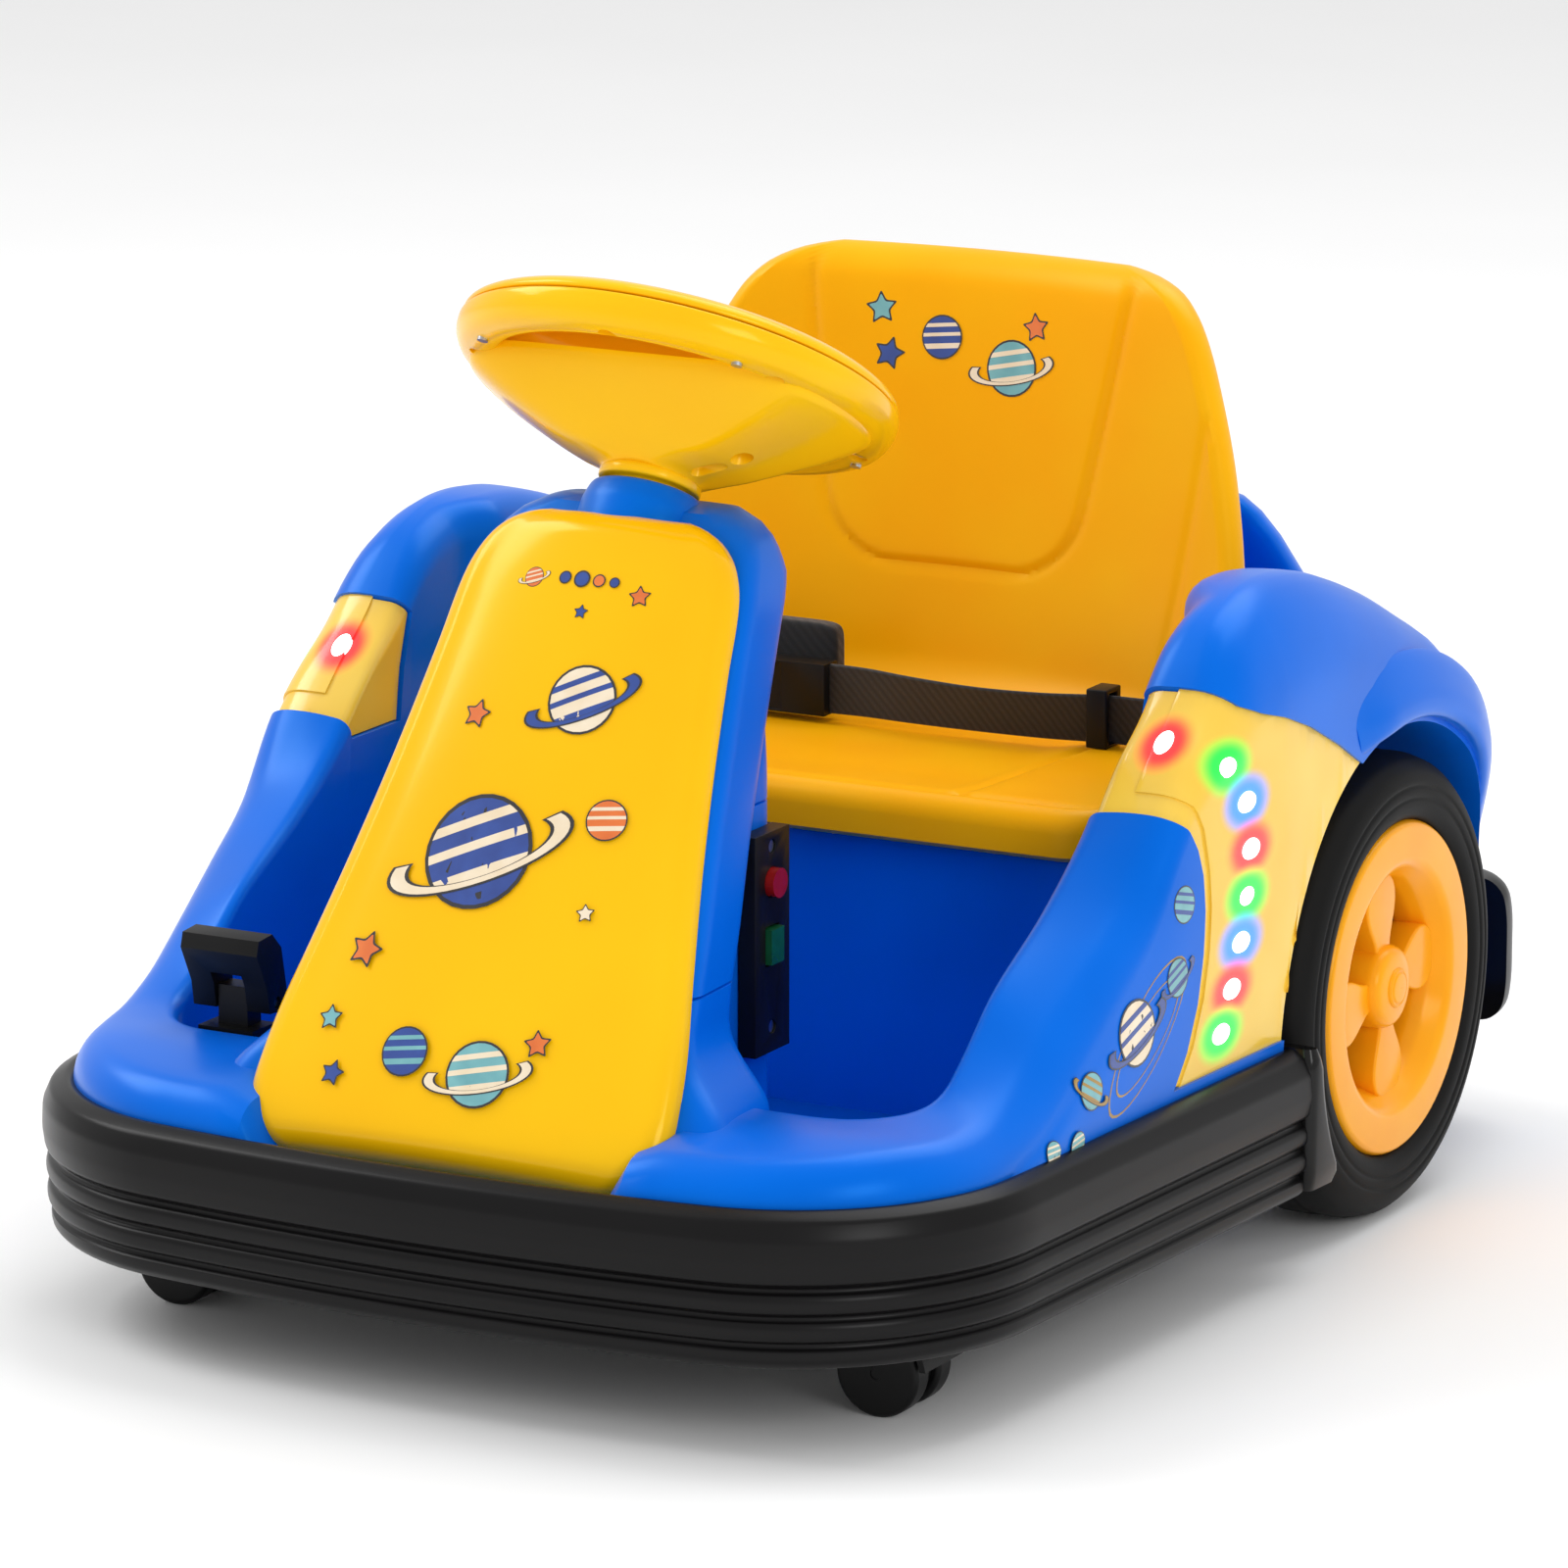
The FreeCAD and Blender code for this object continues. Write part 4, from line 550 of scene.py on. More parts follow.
def front_bumper():
    """Ribbed band round the nose and along both flanks."""
    sections = swept(both_sides(nose_stations()), flowing(BUMPER_FACE, 1.6, 2))
    done(loft("front_bumper_band", sections), "car", BUMPER, ["front_bumper"])


def end_clip():
    """Curved hook over each cut end of the front bumper, hugging the tyre."""
    low, high = reach("bumper_end_clips")
    inner, clear = high.x - 21, TYRE_RADIUS + 3
    sections = []
    for step in range(15):
        z = low.z + (high.z - low.z) * step / 14
        back = AXLE.y - math.sqrt(clear ** 2 - (z - AXLE.z) ** 2)
        end = min(back, low.y + 30)
        ease = 2.5 if step in (0, 14) else 0.8 if step in (1, 13) else 0
        corners = [(inner + ease, low.y - 2 + ease, z), (high.x + 1 - ease, low.y - 2 + ease, z),
                   (high.x + 2.5 - ease, end - 1 - ease, z), (inner + ease, end - ease, z)]
        sections.append(rounded(corners, 5, 4))
    left = loft("bumper_clip_left", sections)
    right = twin(left, "bumper_clip_right", ACROSS)
    done(left, "car", CLIP, ["bumper_end_clips"])
    done(right, "car", CLIP)


def rear_bumper():
    """D-section bar across the tail with its ends turned forward, on a blue flange."""
    half, back, front = TAIL_HIGH.x, TAIL_HIGH.y, TAIL_LOW.y
    low, high = TAIL_LOW.z, TAIL_HIGH.z
    corner = 34
    arc = []
    for step in range(11):
        angle = math.pi / 2 * step / 10
        arc.append((Vector((half - corner, front + 2)), Vector((math.cos(angle), math.sin(angle))), corner))
    mirrored = [(Vector((-c.x, c.y)), Vector((-d.x, d.y)), r) for c, d, r in arc]
    face = [(10, low), (2, low + 7), (0, low + 20), (0, high - 20), (2, high - 7), (10, high), (22, high),
            (22, low)]
    sections = swept(mirrored + arc[::-1], flowing(face, 7))
    done(loft("rear_bumper_bar", sections), "car", BUMPER, ["rear_bumper"])
    flange = block("rear_bumper_flange", (-half + 16, front - 7, low + 12), (half - 16, back - 14, high - 12))
    done(eased(flange, 5, 3), "car", BLUE)


# ---------------------------------------------------------------- body

# Height of the walls' crown over the fender and the tail: (y, z).
FENDER_LINE = ((-48, 268), (-24, 287), (5, 316), (35, 329), (70, 332), (110, 326), (163, 308), (210, 287),
               (240, 272), (270, 250), (295, 222), (324, 196))
# The same from the nose over the dip and the lobe, at the crown's inner rim and at its outer shoulder.
RIM_LINE = ((-345, 128), (-320, 133), (-285, 138), (-250, 139), (-225, 144), (-200, 160), (-170, 184),
            (-121, 210),
            (-81, 237)) + FENDER_LINE
CROWN = ((-345, 128), (-320, 131), (-285, 132), (-240, 131), (-212, 138), (-187, 150), (-133, 188), (-98,
                                                                                                     214),
         (-69, 250)) + FENDER_LINE
WALL_FOOT, TAIL_FOOT = 104, 70
# The hood's foot rests on the walls between its edges and their crown drops under it.
HOOD_EDGE = (88, 104)


def body_pairs(front_corner):
    """Plan points (outer, inner) from the nose's middle round to the tail's, on the driver's left."""
    pairs = []
    nose = nose_stations()
    inner_corner = Vector((COCKPIT_HALF - front_corner, COCKPIT_FRONT + front_corner))
    for centre, direction, radius in nose:
        outer = centre + direction * (radius - BODY_INSET)
        if radius != CORNER_RADIUS:
            inner = Vector((outer.x * 0.97, COCKPIT_FRONT))
        elif centre == CORNER:
            share = 1 + math.atan2(direction.y, direction.x) / math.radians(83)
            angle = -math.pi / 2 * (1 - min(max(share, 0), 1))
            inner = inner_corner + Vector((math.cos(angle), math.sin(angle))) * front_corner
        else:
            start = nose[-45][0].y - 6
            late = 1 - ramp(start, -60, outer.y)
            inner = Vector((COCKPIT_HALF, outer.y + late * (inner_corner.y - start)))
        pairs.append((outer, inner))
    side, flat_end = pairs[-1][0].x, BODY_HIGH.y - TAIL_CORNER
    for step in range(1, 50):
        y = FLANK_END + (flat_end - FLANK_END) * step / 49
        pairs.append((Vector((side, y)), Vector((COCKPIT_HALF + (WELL_INNER - COCKPIT_HALF) * ramp(31, 60,
                                                                                                   y), y))))
    for step in range(1, 17):
        angle = math.pi / 2 * step / 16
        outer = Vector((side - TAIL_CORNER + TAIL_CORNER * math.cos(angle),
                        flat_end + TAIL_CORNER * math.sin(angle)))
        pairs.append((outer, Vector((min(WELL_INNER, outer.x - 22), outer.y - 6 * step / 16))))
    return pairs


def wall_ring(outer, inner):
    """The wall's cross-section: up the outside, over the crown and down the inside."""
    fender = ramp(-60, 40, outer.y)
    tail = ramp(200, 300, outer.y)
    across = inner - outer
    width = across.length
    way = across / width
    out_run, out_drop = 18 + 15 * fender, 19 + 42 * fender - 15 * tail
    in_run, in_drop = 7 + 9 * fender, 7 + 9 * fender
    lowest = WALL_FOOT if outer.y < 292 else TAIL_FOOT
    points = []

    def crown(run, drop):
        spot = outer + way * run
        share = min(max(run / width, 0), 1)
        height = curve(CROWN, spot.y) * (1 - share) + curve(RIM_LINE, spot.y) * share
        under_hood = 28 * (1 - ramp(*HOOD_EDGE, abs(spot.x))) * (1 - ramp(-300, -285, spot.y))
        points.append((spot.x, spot.y, height + 2.5 * math.sin(math.pi * share) - drop - under_hood))

    points.append((outer.x, outer.y, lowest))
    shoulder = curve(CROWN, outer.y) - out_drop
    if outer.y < -300:
        shoulder -= 12 * (1 - ramp(*HOOD_EDGE, abs(outer.x)))
    for step in range(1, 8):
        share = step / 8
        height = lowest + (shoulder - lowest) * share
        bulge = 2.5 * math.sin(math.pi * share)
        points.append((outer.x - way.x * bulge, outer.y - way.y * bulge, height))
    for step in range(9):
        angle = math.pi / 2 * step / 8
        crown(out_run * (1 - math.cos(angle)), out_drop * (1 - math.sin(angle)))
    for step in range(1, 8):
        crown(out_run + (width - in_run - out_run) * step / 8, 0)
    for step in range(7):
        angle = math.pi / 2 * step / 6
        crown(width - in_run * (1 - math.sin(angle)), in_drop * (1 - math.cos(angle)))
    floor = 64 if outer.y < 20 else WALL_FOOT
    top = points[-1][2]
    for step in range(1, 5):
        points.append((inner.x, inner.y, top + (floor - top) * step / 4))
    return points


# Edge of each side light panel in side view, from the foot up behind the lobe, over the crown and back
# along the fender's brow to the arch: (y, z).
LIGHT_FRONT = ((-80, 119), (-69, 135), (-60, 157), (-55, 180), (-53, 200), (-54, 217), (-58, 230), (-65, 241),
               (-74, 249), (-84, 254), (-90, 320))
LIGHT_BACK = ((-24, 320), (-17, 296), (-8, 288), (8, 282), (30, 276), (57, 266), (88, 251), (118, 234),
              (160, 200), (160, 119))
# The same panel where it wraps over the crown to the inside.
CROWN_EDGE = ((-70, 236), (-73, 250), (-82, 262), (-90, 320), (-24, 320), (-17, 296), (-12, 288), (-20, 262),
              (-24, 236))
PANEL_DEPTH = 1.6
STRIP_WIDTH = 9
STRIP_DEPTH = 1.1


def light_cutter(set_back=0):
    """The light panel's region, or, set back from its front edge, the raised field's on the outside."""
    front = [(y + set_back, z + set_back * ramp(215, 235, z)) for y, z in LIGHT_FRONT]
    outside = stood("light_cutter", [(220, y, z) for y, z in front + list(LIGHT_BACK)], (90, 0, 0))
    if set_back:
        return outside
    inside = stood("crown_cutter", [(150, y, z) for y, z in CROWN_EDGE], (74, 0, 0))
    return carved(outside, inside, "UNION")


def arch_cutter():
    """The wheel's well and the arch round it."""
    wheel = turned("arch_cutter", bar(ARCH_RADIUS, WELL_INNER + 4, 300), 120)
    return moved(wheel, Matrix.Translation((0, AXLE.y, AXLE.z)) @ Matrix.Rotation(math.pi / 2, 4, "Y"))


def body_side(side, name, front_corner):
    """One side's wall, lobe and fender, with its light panel let in."""
    sections = [wall_ring(outer, inner) for outer, inner in body_pairs(front_corner)]
    wall = loft(f"body_side_{name}", sections)
    carved(wall, arch_cutter())
    panel = twin(wall, f"light_panel_{name}_lens", Matrix.Identity(4))
    edit(panel)
    bpy.ops.transform.shrink_fatten(value=-PANEL_DEPTH * MM)
    leave()
    carved(panel, light_cutter(), "INTERSECT")
    field = twin(panel, "light_field", Matrix.Identity(4))
    carved(field, light_cutter(STRIP_WIDTH), "INTERSECT")
    edit(panel)
    bpy.ops.transform.shrink_fatten(value=-STRIP_DEPTH * MM)
    leave()
    panel = joined(f"light_panel_{name}_lens", [eased(field, 1.0, 3, 50), panel])
    carved(wall, light_cutter())
    if side < 0:
        for piece in (wall, panel):
            moved(piece, ACROSS)
            sealed(piece, caps=False)
    return wall, panel


def fender_lip(side, name):
    """Flared band round the wheel arch."""
    sections = []
    for step in range(49):
        angle = math.radians(-21 + 106 * step / 48)
        rise = math.sin(math.pi * min(step / 48 * 4, 0.5)) * math.sin(math.pi * min((48 - step) / 48 * 5,
                                                                                    0.5))
        ring = flowing([(248, 168), (253.5 + 0.6 * rise, 162), (256.5 + 6 * rise, 145), (256 + 7 * rise,
                                                                                         133.5),
                        (250, 133.5)], 6, 5)
        beyond = max(0, AXLE.y + 145 * math.sin(angle) - (BODY_HIGH.y - TAIL_CORNER))
        tuck = TAIL_CORNER - math.sqrt(TAIL_CORNER ** 2 - beyond ** 2)
        sections.append([(side * (x - tuck), AXLE.y + r * math.sin(angle), AXLE.z + r * math.cos(angle))
                         for x, r in ring])
    return loft(f"fender_lip_{name}", sections)


def footwell_and_base():
    """Footwell floor, seat base and tail, as open mouldings that close the body."""
    floor = block("footwell_floor", (-COCKPIT_HALF - 4, COCKPIT_FRONT - 4, 62.4), (COCKPIT_HALF + 4, -2,
                                                                                   65.4))
    base = block("seat_base", (-WELL_INNER - 1, -5, 62.4), (WELL_INNER + 1, BODY_HIGH.y - 1,
                                                            SEAT_LOW.z - 0.5))
    edit(base)
    bpy.ops.mesh.select_all(action="DESELECT")
    leave()
    for face in base.data.polygons:
        face.select = face.normal.z < -0.5
    only(base)
    bpy.ops.object.mode_set(mode="EDIT")
    bpy.ops.mesh.delete(type="FACE")
    leave()
    eased(base, 9, 4, 60)
    modify(base, "SOLIDIFY", thickness=3 * MM, offset=-1)
    return [eased(floor, 1, 2), base]


# Height on the tower, and the half width of its front and of its band's rear edge.
TOWER_WIDTHS = ((62, 106), (110, 106), (187, 101), (250, 90.5), (289, 84.5), (330, 79), (350, 76), (368, 70),
                (378, 62), (384, 50))
TOWER_SEAM, COLUMN_SEAM = 187, 255


def hood_line(z):
    """Where the tower's front face stands at height z."""
    return HOOD_FOOT.y + (z - HOOD_FOOT.z) * HOOD_UP.y / HOOD_UP.z


def band_ring(z, inset=0.0):
    """The tower's band behind the hood, flared at its foot."""
    flare = 26 * (1 - ramp(132, 176, z)) ** 1.5
    half = curve(TOWER_WIDTHS, z) - inset
    crown = max(0, z - 356)
    front = hood_line(z) + 1 + inset + crown * 0.25
    back = hood_line(z) + 52 + (TOWER_SEAM - min(z, TOWER_SEAM)) * 0.25 - inset - crown * 0.6
    return level_ring(half + flare, half - 3 + flare, front, back, z, 13)


def column_ring(z, inset=0.0):
    """The tower's inner part, which faces the driver."""
    flare = 20 * (1 - ramp(66, 110, z)) ** 2
    lean = ramp(262, 384, z)
    half = 77.6 - inset - 24 * lean
    return level_ring(half, half, hood_line(max(z, 100)) + 30, -150 + flare - inset + 26 * lean, z, 12)


def tower():
    """The steering tower in two mouldings with a seam between them."""
    feet, heads, low = [], [], 64
    for name, ring, high, seam in (("band", band_ring, 384, TOWER_SEAM), ("column", column_ring, 380,
                                                                          COLUMN_SEAM)):
        foot = [ring(low + (seam - 0.6 - low) * step / 30) for step in range(31)] + [ring(seam - 0.1, 1.2)]
        head = [ring(seam + 0.1,
                     1.2)] + [ring(seam + 0.8 + (high - seam - 0.8) * step / 36) for step in range(37)]
        feet.append(loft(f"tower_{name}_foot", foot))
        heads.append(loft(f"tower_{name}_head", [*head, ring(high + 1.5, 6)]))
    return joined("tower_foot", feet), joined("tower_head", heads)


def hood_matrix():
    """From the hood's own plane, x across, y up its length and z outwards, to its place."""
    rows = Matrix((Vector((1, 0, 0)), HOOD_UP, HOOD_OUT)).transposed().to_4x4()
    return Matrix.Translation(HOOD_FOOT) @ rows


# Distance up the hood from its foot, and the hood's half width there.
HOOD_WIDTHS = ((0, 84), (3, 93), (8, 100), (16, 106), (28, 109.5), (45, 109), (70, 106), (100, 100), (150,
                                                                                                      90.5),
               (200, 82.5), (250, 76), (285, 72), (302, 66), (313, 57), (319, 47), (322, 37))
HOOD_LENGTH = HOOD_WIDTHS[-1][0]
HOOD_ROLL = 13


def hood():
    """Glossy cover, domed across and rolled over at every edge."""
    sections = []
    for step in range(81):
        share = step / 80
        distance = HOOD_LENGTH * (share - math.sin(math.tau * share) / math.tau * 0.55)
        half = curve(HOOD_WIDTHS, distance)
        end = min(distance, HOOD_LENGTH - distance) / 15
        rise = math.sqrt(max(1 - (1 - min(end, 1)) ** 2, 0))
        long_dome = 3.5 * math.sin(math.pi * share)
        ring = [(-half, distance, -1)]
        for turn in range(1, 9):
            angle = math.pi / 2 * turn / 8
            ring.append((-half + HOOD_ROLL * (1 - math.cos(angle)), distance,
                         1 + rise * 10 * math.sin(angle)))
        inside = half - HOOD_ROLL
        for turn in range(1, 16):
            x = -inside + 2 * inside * turn / 16
            ring.append((x, distance, 1 + rise * (10 + (5 + long_dome) * (1 - (x / inside) ** 2))))
        ring += [(-x, y, z) for x, y, z in ring[8:0:-1]] + [(half, distance, -1)]
        sections.append(ring)
    return loft("hood_cover", sections)


def print_on(label, drawings, target, place, axis, after=None):
    """Prints drawings on a surface, then takes them after it if the surface is still to be moved."""
    for ink, film in stuck(label, drawings, target, place, axis).items():
        if after:
            moved(film, after)
        done(film, "car", INKS[ink])


def collar():
    """Oval neck round the column."""
    low, high = -92, -60
    piece = spun("column_collar", ((20.5, low), (28, low), (27, high - 9), (25, high - 2), (23.5, high),
                                   (21, high), (20.5, high - 2)), 2.5, 72)
    return moved(piece, steer_matrix() @ Matrix.Diagonal((1.1, 1, 1, 1)))


def steer_matrix():
    """From the steering wheel's own axis, its middle at the origin, to its place."""
    return Matrix.Translation(STEER_CENTRE) @ Matrix.Rotation(-STEER_TILT, 4, "X")


def rear_hump():
    """Blue cover that follows the backrest's back and falls to the tail."""
    rows = ((SEAT_LOW.z - 1, 167, 318), (235, 164, 311), (262, 159, 300), (290, 154, 285), (312, 149, 268),
            (326, 144, 256), (334, 138, 249), (338, 130, 243))
    sections = []
    for z, half, back in rows:
        width, side_y, middle_y = columns(BACK_SHAPE, z)
        xs = [-half + 2 * half * step / 24 for step in range(25)]
        ring = [(x, middle_y - (middle_y - side_y) * (x / width) ** 2 + 19, z) for x in xs]
        behind = [(half, back - 30, z), (half - 8, back, z), (8 - half, back, z), (-half, back - 30, z)]
        sections.append(ring + rounded(behind, 34, 8))
    return loft("rear_cover", sections)


def body():
    """Walls, lights, tower, hood, neck and rear cover."""
    for side, name, front_corner in ((1, "left", 46), (-1, "right", 34)):
        wall, panel = body_side(side, name, front_corner)
        if side == 1:
            spots = lamp_spots(panel)
            light = diffuser([spot for spot, _ in spots])
        lip = fender_lip(side, name)
        sideways = Matrix(((0, 0, side, 0), (1, 0, 0, 0), (0, 1, 0, 0), (0, 0, 0, 1)))
        print_on(f"side_decals_{name}", side_drawings(), wall, Matrix.Translation((side * 275, 0,
                                                                                   0)) @ sideways, "x")
        done(wall, "car", BLUE, ["body_shell"] if side == 1 else ())
        done(lip, "car", BLUE)
        done(panel, "car", light, [f"light_panel_{name}"])
        lamps(side, name, spots)
    for piece in footwell_and_base():
        done(piece, "car", BLUE)
    foot, head = tower()
    done(foot, "car", BLUE)
    done(head, "car", BLUE, ["tower_shell"])
    cover = hood()
    print_on("hood_decals", hood_drawings(), cover, Matrix.Translation((0, 0, 30)), "z", hood_matrix())
    done(moved(cover, hood_matrix()), "car", YELLOW, ["hood_panel"])
    done(collar(), "car", BLUE, ["steering_collar"])
    done(rear_hump(), "car", BLUE, ["rear_shell"])


# ---------------------------------------------------------------- side lights

def lamp_spots(panel):
    """Where each lamp stands on the left panel, and the way it faces, in metres."""
    return [panel.closest_point_on_mesh(Vector(near) * MM)[1:3] for near in LAMPS]


def lamps(side, name, spots):
    """Domed lamps standing out of one side's panel, with their colours in turn."""
    dome = [(0.01, -2), (5, -2), (5, 0.2), (4.6, 1.0), (3.4, 1.6), (1.8, 1.9), (0.01, 2.0)]
    for number, (spot, normal) in enumerate(spots):
        spot, normal = Vector((side * spot.x, spot.y, spot.z)), Vector((side * normal.x, normal.y, normal.z))
        lens = turned(f"lamp_{name}_{number}", dome, 24)
        turn = Vector((0, 0, 1)).rotation_difference(normal).to_matrix().to_4x4()
        moved(lens, Matrix.Translation(spot / MM) @ turn @ Matrix.Diagonal((1, 1 / HALO_SPREAD, 1, 1)))
        stands_for = ["lamps"] if (side, number) == (1, 0) else ()
        done(lens, "car", LENSES[number % 3], stands_for)


# ---------------------------------------------------------------- seat

# Height on the backrest, its half width, and where its face stands at the side and in the middle.
BACK_SHAPE = ((231, 176, 112, 164), (262, 172, 126, 171), (306, 162, 149, 180), (357, 148, 167, 190),
              (401, 132, 179, 198), (425, 120, 186, 202), (438, 108, 192, 205), (446, 95, 198, 208),
              (450, 82, 203, 210))
BACK_ROLL = 14


def groove(x, z):
    """How deep the face is pressed in: a U round the centre panel and a line inside each bolster."""
    round_corner, foot = 34, 296
    half = 69 + (z - 312) * 0.16
    beyond_x, beyond_z = abs(x) - (half - round_corner), foot + round_corner - z
    apart = math.hypot(max(beyond_x, 0), max(beyond_z, 0)) + min(max(beyond_x, beyond_z), 0) - round_corner
    bolster = abs(x) - (131 + (z - 254) * 0.08)
    fade = ramp(440, 425, z) if z > 425 else 1
    return (1.7 * math.exp(-(apart / 2.4) ** 2) - 1.4 * ramp(3, -6, apart)
            + 1.5 * fade * math.exp(-(bolster / 2.6) ** 2))


def backrest():
    """Curved shell with a rolled top, its face pressed by the grooves and curled forward at its foot."""
    top, foot, thick = SEAT_HIGH.z - 3, SEAT_LOW.z + 12, 18
    sections = []
    heights = [foot + (top - BACK_ROLL - foot) * step / 84 for step in range(85)]
    heights += [top - BACK_ROLL + BACK_ROLL * math.sin(math.pi / 2 * step / 8) for step in range(1, 9)]
    for z in heights:
        half, side_y, middle_y = columns(BACK_SHAPE, z)
        late = max(0, (z - top + BACK_ROLL) / BACK_ROLL)
        slim = math.sqrt(max(1 - late ** 2, 0.0)) * 0.5 * thick + 0.01
        fillet = 24 * (1 - math.sqrt(max(1 - max(0, 1 - (z - 230) / 24) ** 2, 0))) if z < 254 else 0
        half -= 4 * late ** 2

        def line(x):
            return middle_y - (middle_y - side_y) * (x / half) ** 2 + thick / 2

        ring = []
        for step in range(141):
            x = -half + 2 * half * step / 140
            ring.append((x, line(x) - slim - fillet * (slim > 4) + groove(x, z) * (1 - late), z))
        for step in range(1, 8):
            angle = math.pi * step / 8
            ring.append((half + slim * 0.9 * math.sin(angle), line(half) - slim * math.cos(angle), z))
        for step in range(31):
            x = half - 2 * half * step / 30
            ring.append((x, line(x) + slim, z))
        for step in range(1, 8):
            angle = math.pi * step / 8
            ring.append((-half - slim * 0.9 * math.sin(angle), line(half) + slim * math.cos(angle), z))
        sections.append(ring)
    return loft("backrest", sections)


def pan():
    """Seat pan: rolled front lip, shallow dish and a pressed line inside each side."""
    half, front, low, top = SEAT_HIGH.x, SEAT_LOW.y, SEAT_LOW.z, SEAT_LOW.z + 25
    sections = []
    for step in range(125):
        x = half * (-1 + 2 * step / 124)
        turn = max(0, abs(x) - (half - 26)) / 26
        corner = 1 - math.sqrt(max(1 - turn ** 2, 0))
        start = front + 26 * corner
        back = min(178, 176 - 50 * (x / 176) ** 2)
        edge = 7 * (1 - math.sqrt(max(1 - (max(0, abs(x) - (half - 9)) / 9) ** 2, 0)))
        ring = [(x, back, low), (x, start + 6, low), (x, start + 1, low + 3)]
        for part in range(9):
            angle = math.pi / 2 * part / 8
            ring.append((x, start + 11 * (1 - math.cos(angle)), top - 11 + 11 * math.sin(angle) - edge))
        for part in range(1, 61):
            y = start + 11 + (back - start - 11) * part / 60
            dish = 3.2 * ramp(0, 60, y - start) * (1 - ramp(90, 120, abs(x)))
            line = 1.8 * math.exp(-((abs(x) - 104 - 0.1 * y) / 2.5) ** 2)
            line += 1.5 * math.exp(-((y - front - 16) / 2.4) ** 2)
            ring.append((x, y, top - edge - dish - line * (1 - ramp(100, 140, y))))
        sections.append(ring)
    return loft("seat_pan", sections)


def seat():
    bucket = joined("bucket_seat", [backrest(), pan()])
    upright = Matrix.Translation((0, 150, 0)) @ Matrix.Rotation(math.pi / 2, 4, "X")
    print_on("backrest_decals", back_drawings(), bucket, upright, "y")
    done(bucket, "car", AMBER, ["seat"])


# ---------------------------------------------------------------- steering wheel

def slot_cutter(low, high):
    """The two crescent openings between the rim and the fan."""
    cutters = []
    for way in (-90, 90):
        outline = []
        for step in range(25):
            angle = math.radians(way - 58 + 116 * step / 24)
            outline.append((83 * math.cos(angle), 83 * math.sin(angle), low))
        for step in range(25):
            share = 1 - step / 24
            angle = math.radians(way - 58 + 116 * share)
            radius = 83 - 22 * math.sin(math.pi * share) ** 0.6 - 0.5
            outline.append((radius * math.cos(angle), radius * math.sin(angle), low))
        cutters.append(stood("slot", outline, (0, 0, high - low)))
    return joined("slot_cutters", cutters)


# Depth below the wheel's middle, and the fan's half width to the sides and to the front there.
FAN = ((-57, 22, 21), (-52, 25, 22.5), (-48, 34, 25), (-44, 46, 28), (-36, 64, 34), (-27, 82, 41), (-18, 96,
                                                                                                    48),
       (-13, 98, 51), (-9, 97, 52))
REAR_SHARE = 0.78
# Half width in front of the recessed wall above the fan.
RECESS_FRONT = 41


def bored(piece, x, y, radius, top):
    """A round pocket sunk upwards into a piece from below."""
    tool = turned("pocket", bar(radius, -70, top), 32)
    return carved(piece, moved(tool, Matrix.Translation((x, y, 0))))


def steering_rim():
    """The wheel's lower roll, with its screw pockets."""
    piece = spun("steering_wheel_roll", ((83, 2.2), (82.5, -8), (86, -13.5), (94, -15.5), (102, -12.5),
                                         (106, -6),
                                         (106.3, 0), (105.4, 2.2)), 3.5)
    for turn in (38, 97, 152, 210, 277, 328):
        angle = math.radians(turn)
        bored(piece, 92.5 * math.cos(angle), 92.5 * math.sin(angle), 4.6, -11.5)
    return eased(piece, 1.0, 3, 45)


def steering_fan():
    """Hub that fans out to the rim at both sides and leaves a crescent open in front and behind."""
    low, high = FAN[0][0], FAN[-1][0]
    heights = [low + (high - low) * step / 54 for step in range(55)]
    levels = [(height, *columns(FAN, height)) for height in heights]
    levels += [(height, FAN[-1][1], RECESS_FRONT) for height in (high + 0.4, 2.2)]
    sections = []
    for height, side, front in levels:
        ring = []
        for part in range(144):
            angle = math.tau * part / 144
            reach_out = front * (1 if angle > math.pi else REAR_SHARE + (1 - REAR_SHARE) * ramp(-40, -57,
                                                                                                height))
            radius = (side ** -11 + (abs(math.sin(angle)) / reach_out) ** 11) ** (-1 / 11)
            ring.append((radius * math.cos(angle), radius * math.sin(angle), height))
        sections.append(ring)
    piece = loft("steering_wheel_fan", sections)
    for side in (1, -1):
        bored(piece, side * 50, side * -10, 5.2, -36)
        recess = block("recess", (side * 34 - 9, side * -8 - 4, -70), (side * 34 + 9, side * -8 + 4, -44))
        carved(piece, eased(recess, 3.6, 5))
    return eased(piece, 1.2, 3, 50)


def steering_wheel():
    """The wheel's two mouldings and the neck ring under them."""
    under = joined("steering_wheel_under", [steering_rim(), steering_fan()])
    done(moved(under, steer_matrix()), "steering", YELLOW, ["steering_wheel_lower"])
    top = spun("steering_wheel_top", ((0.01, 2.6), (100, 2.6), (105.4, 2.6), (104, 7), (96, 11), (87, 8.5),
                                      (81, 4.5),
                                      (50, 5.5), (22, 7.5), (0.01, 8)), 5)
    carved(top, slot_cutter(-60, 40))
    done(moved(eased(top, 1.2, 3, 45), steer_matrix()), "steering", YELLOW,
         ["steering_wheel_upper"])
    neck = spun("column_neck_ring", ((14, -66), (19.5, -66), (19.5, -58), (24.5, -57.5), (24.5, -53), (21,
                                                                                                       -51),
                                     (14, -51)), 1.5, 72)
    done(moved(neck, steer_matrix()), "steering", YELLOW)


# ---------------------------------------------------------------- wheels

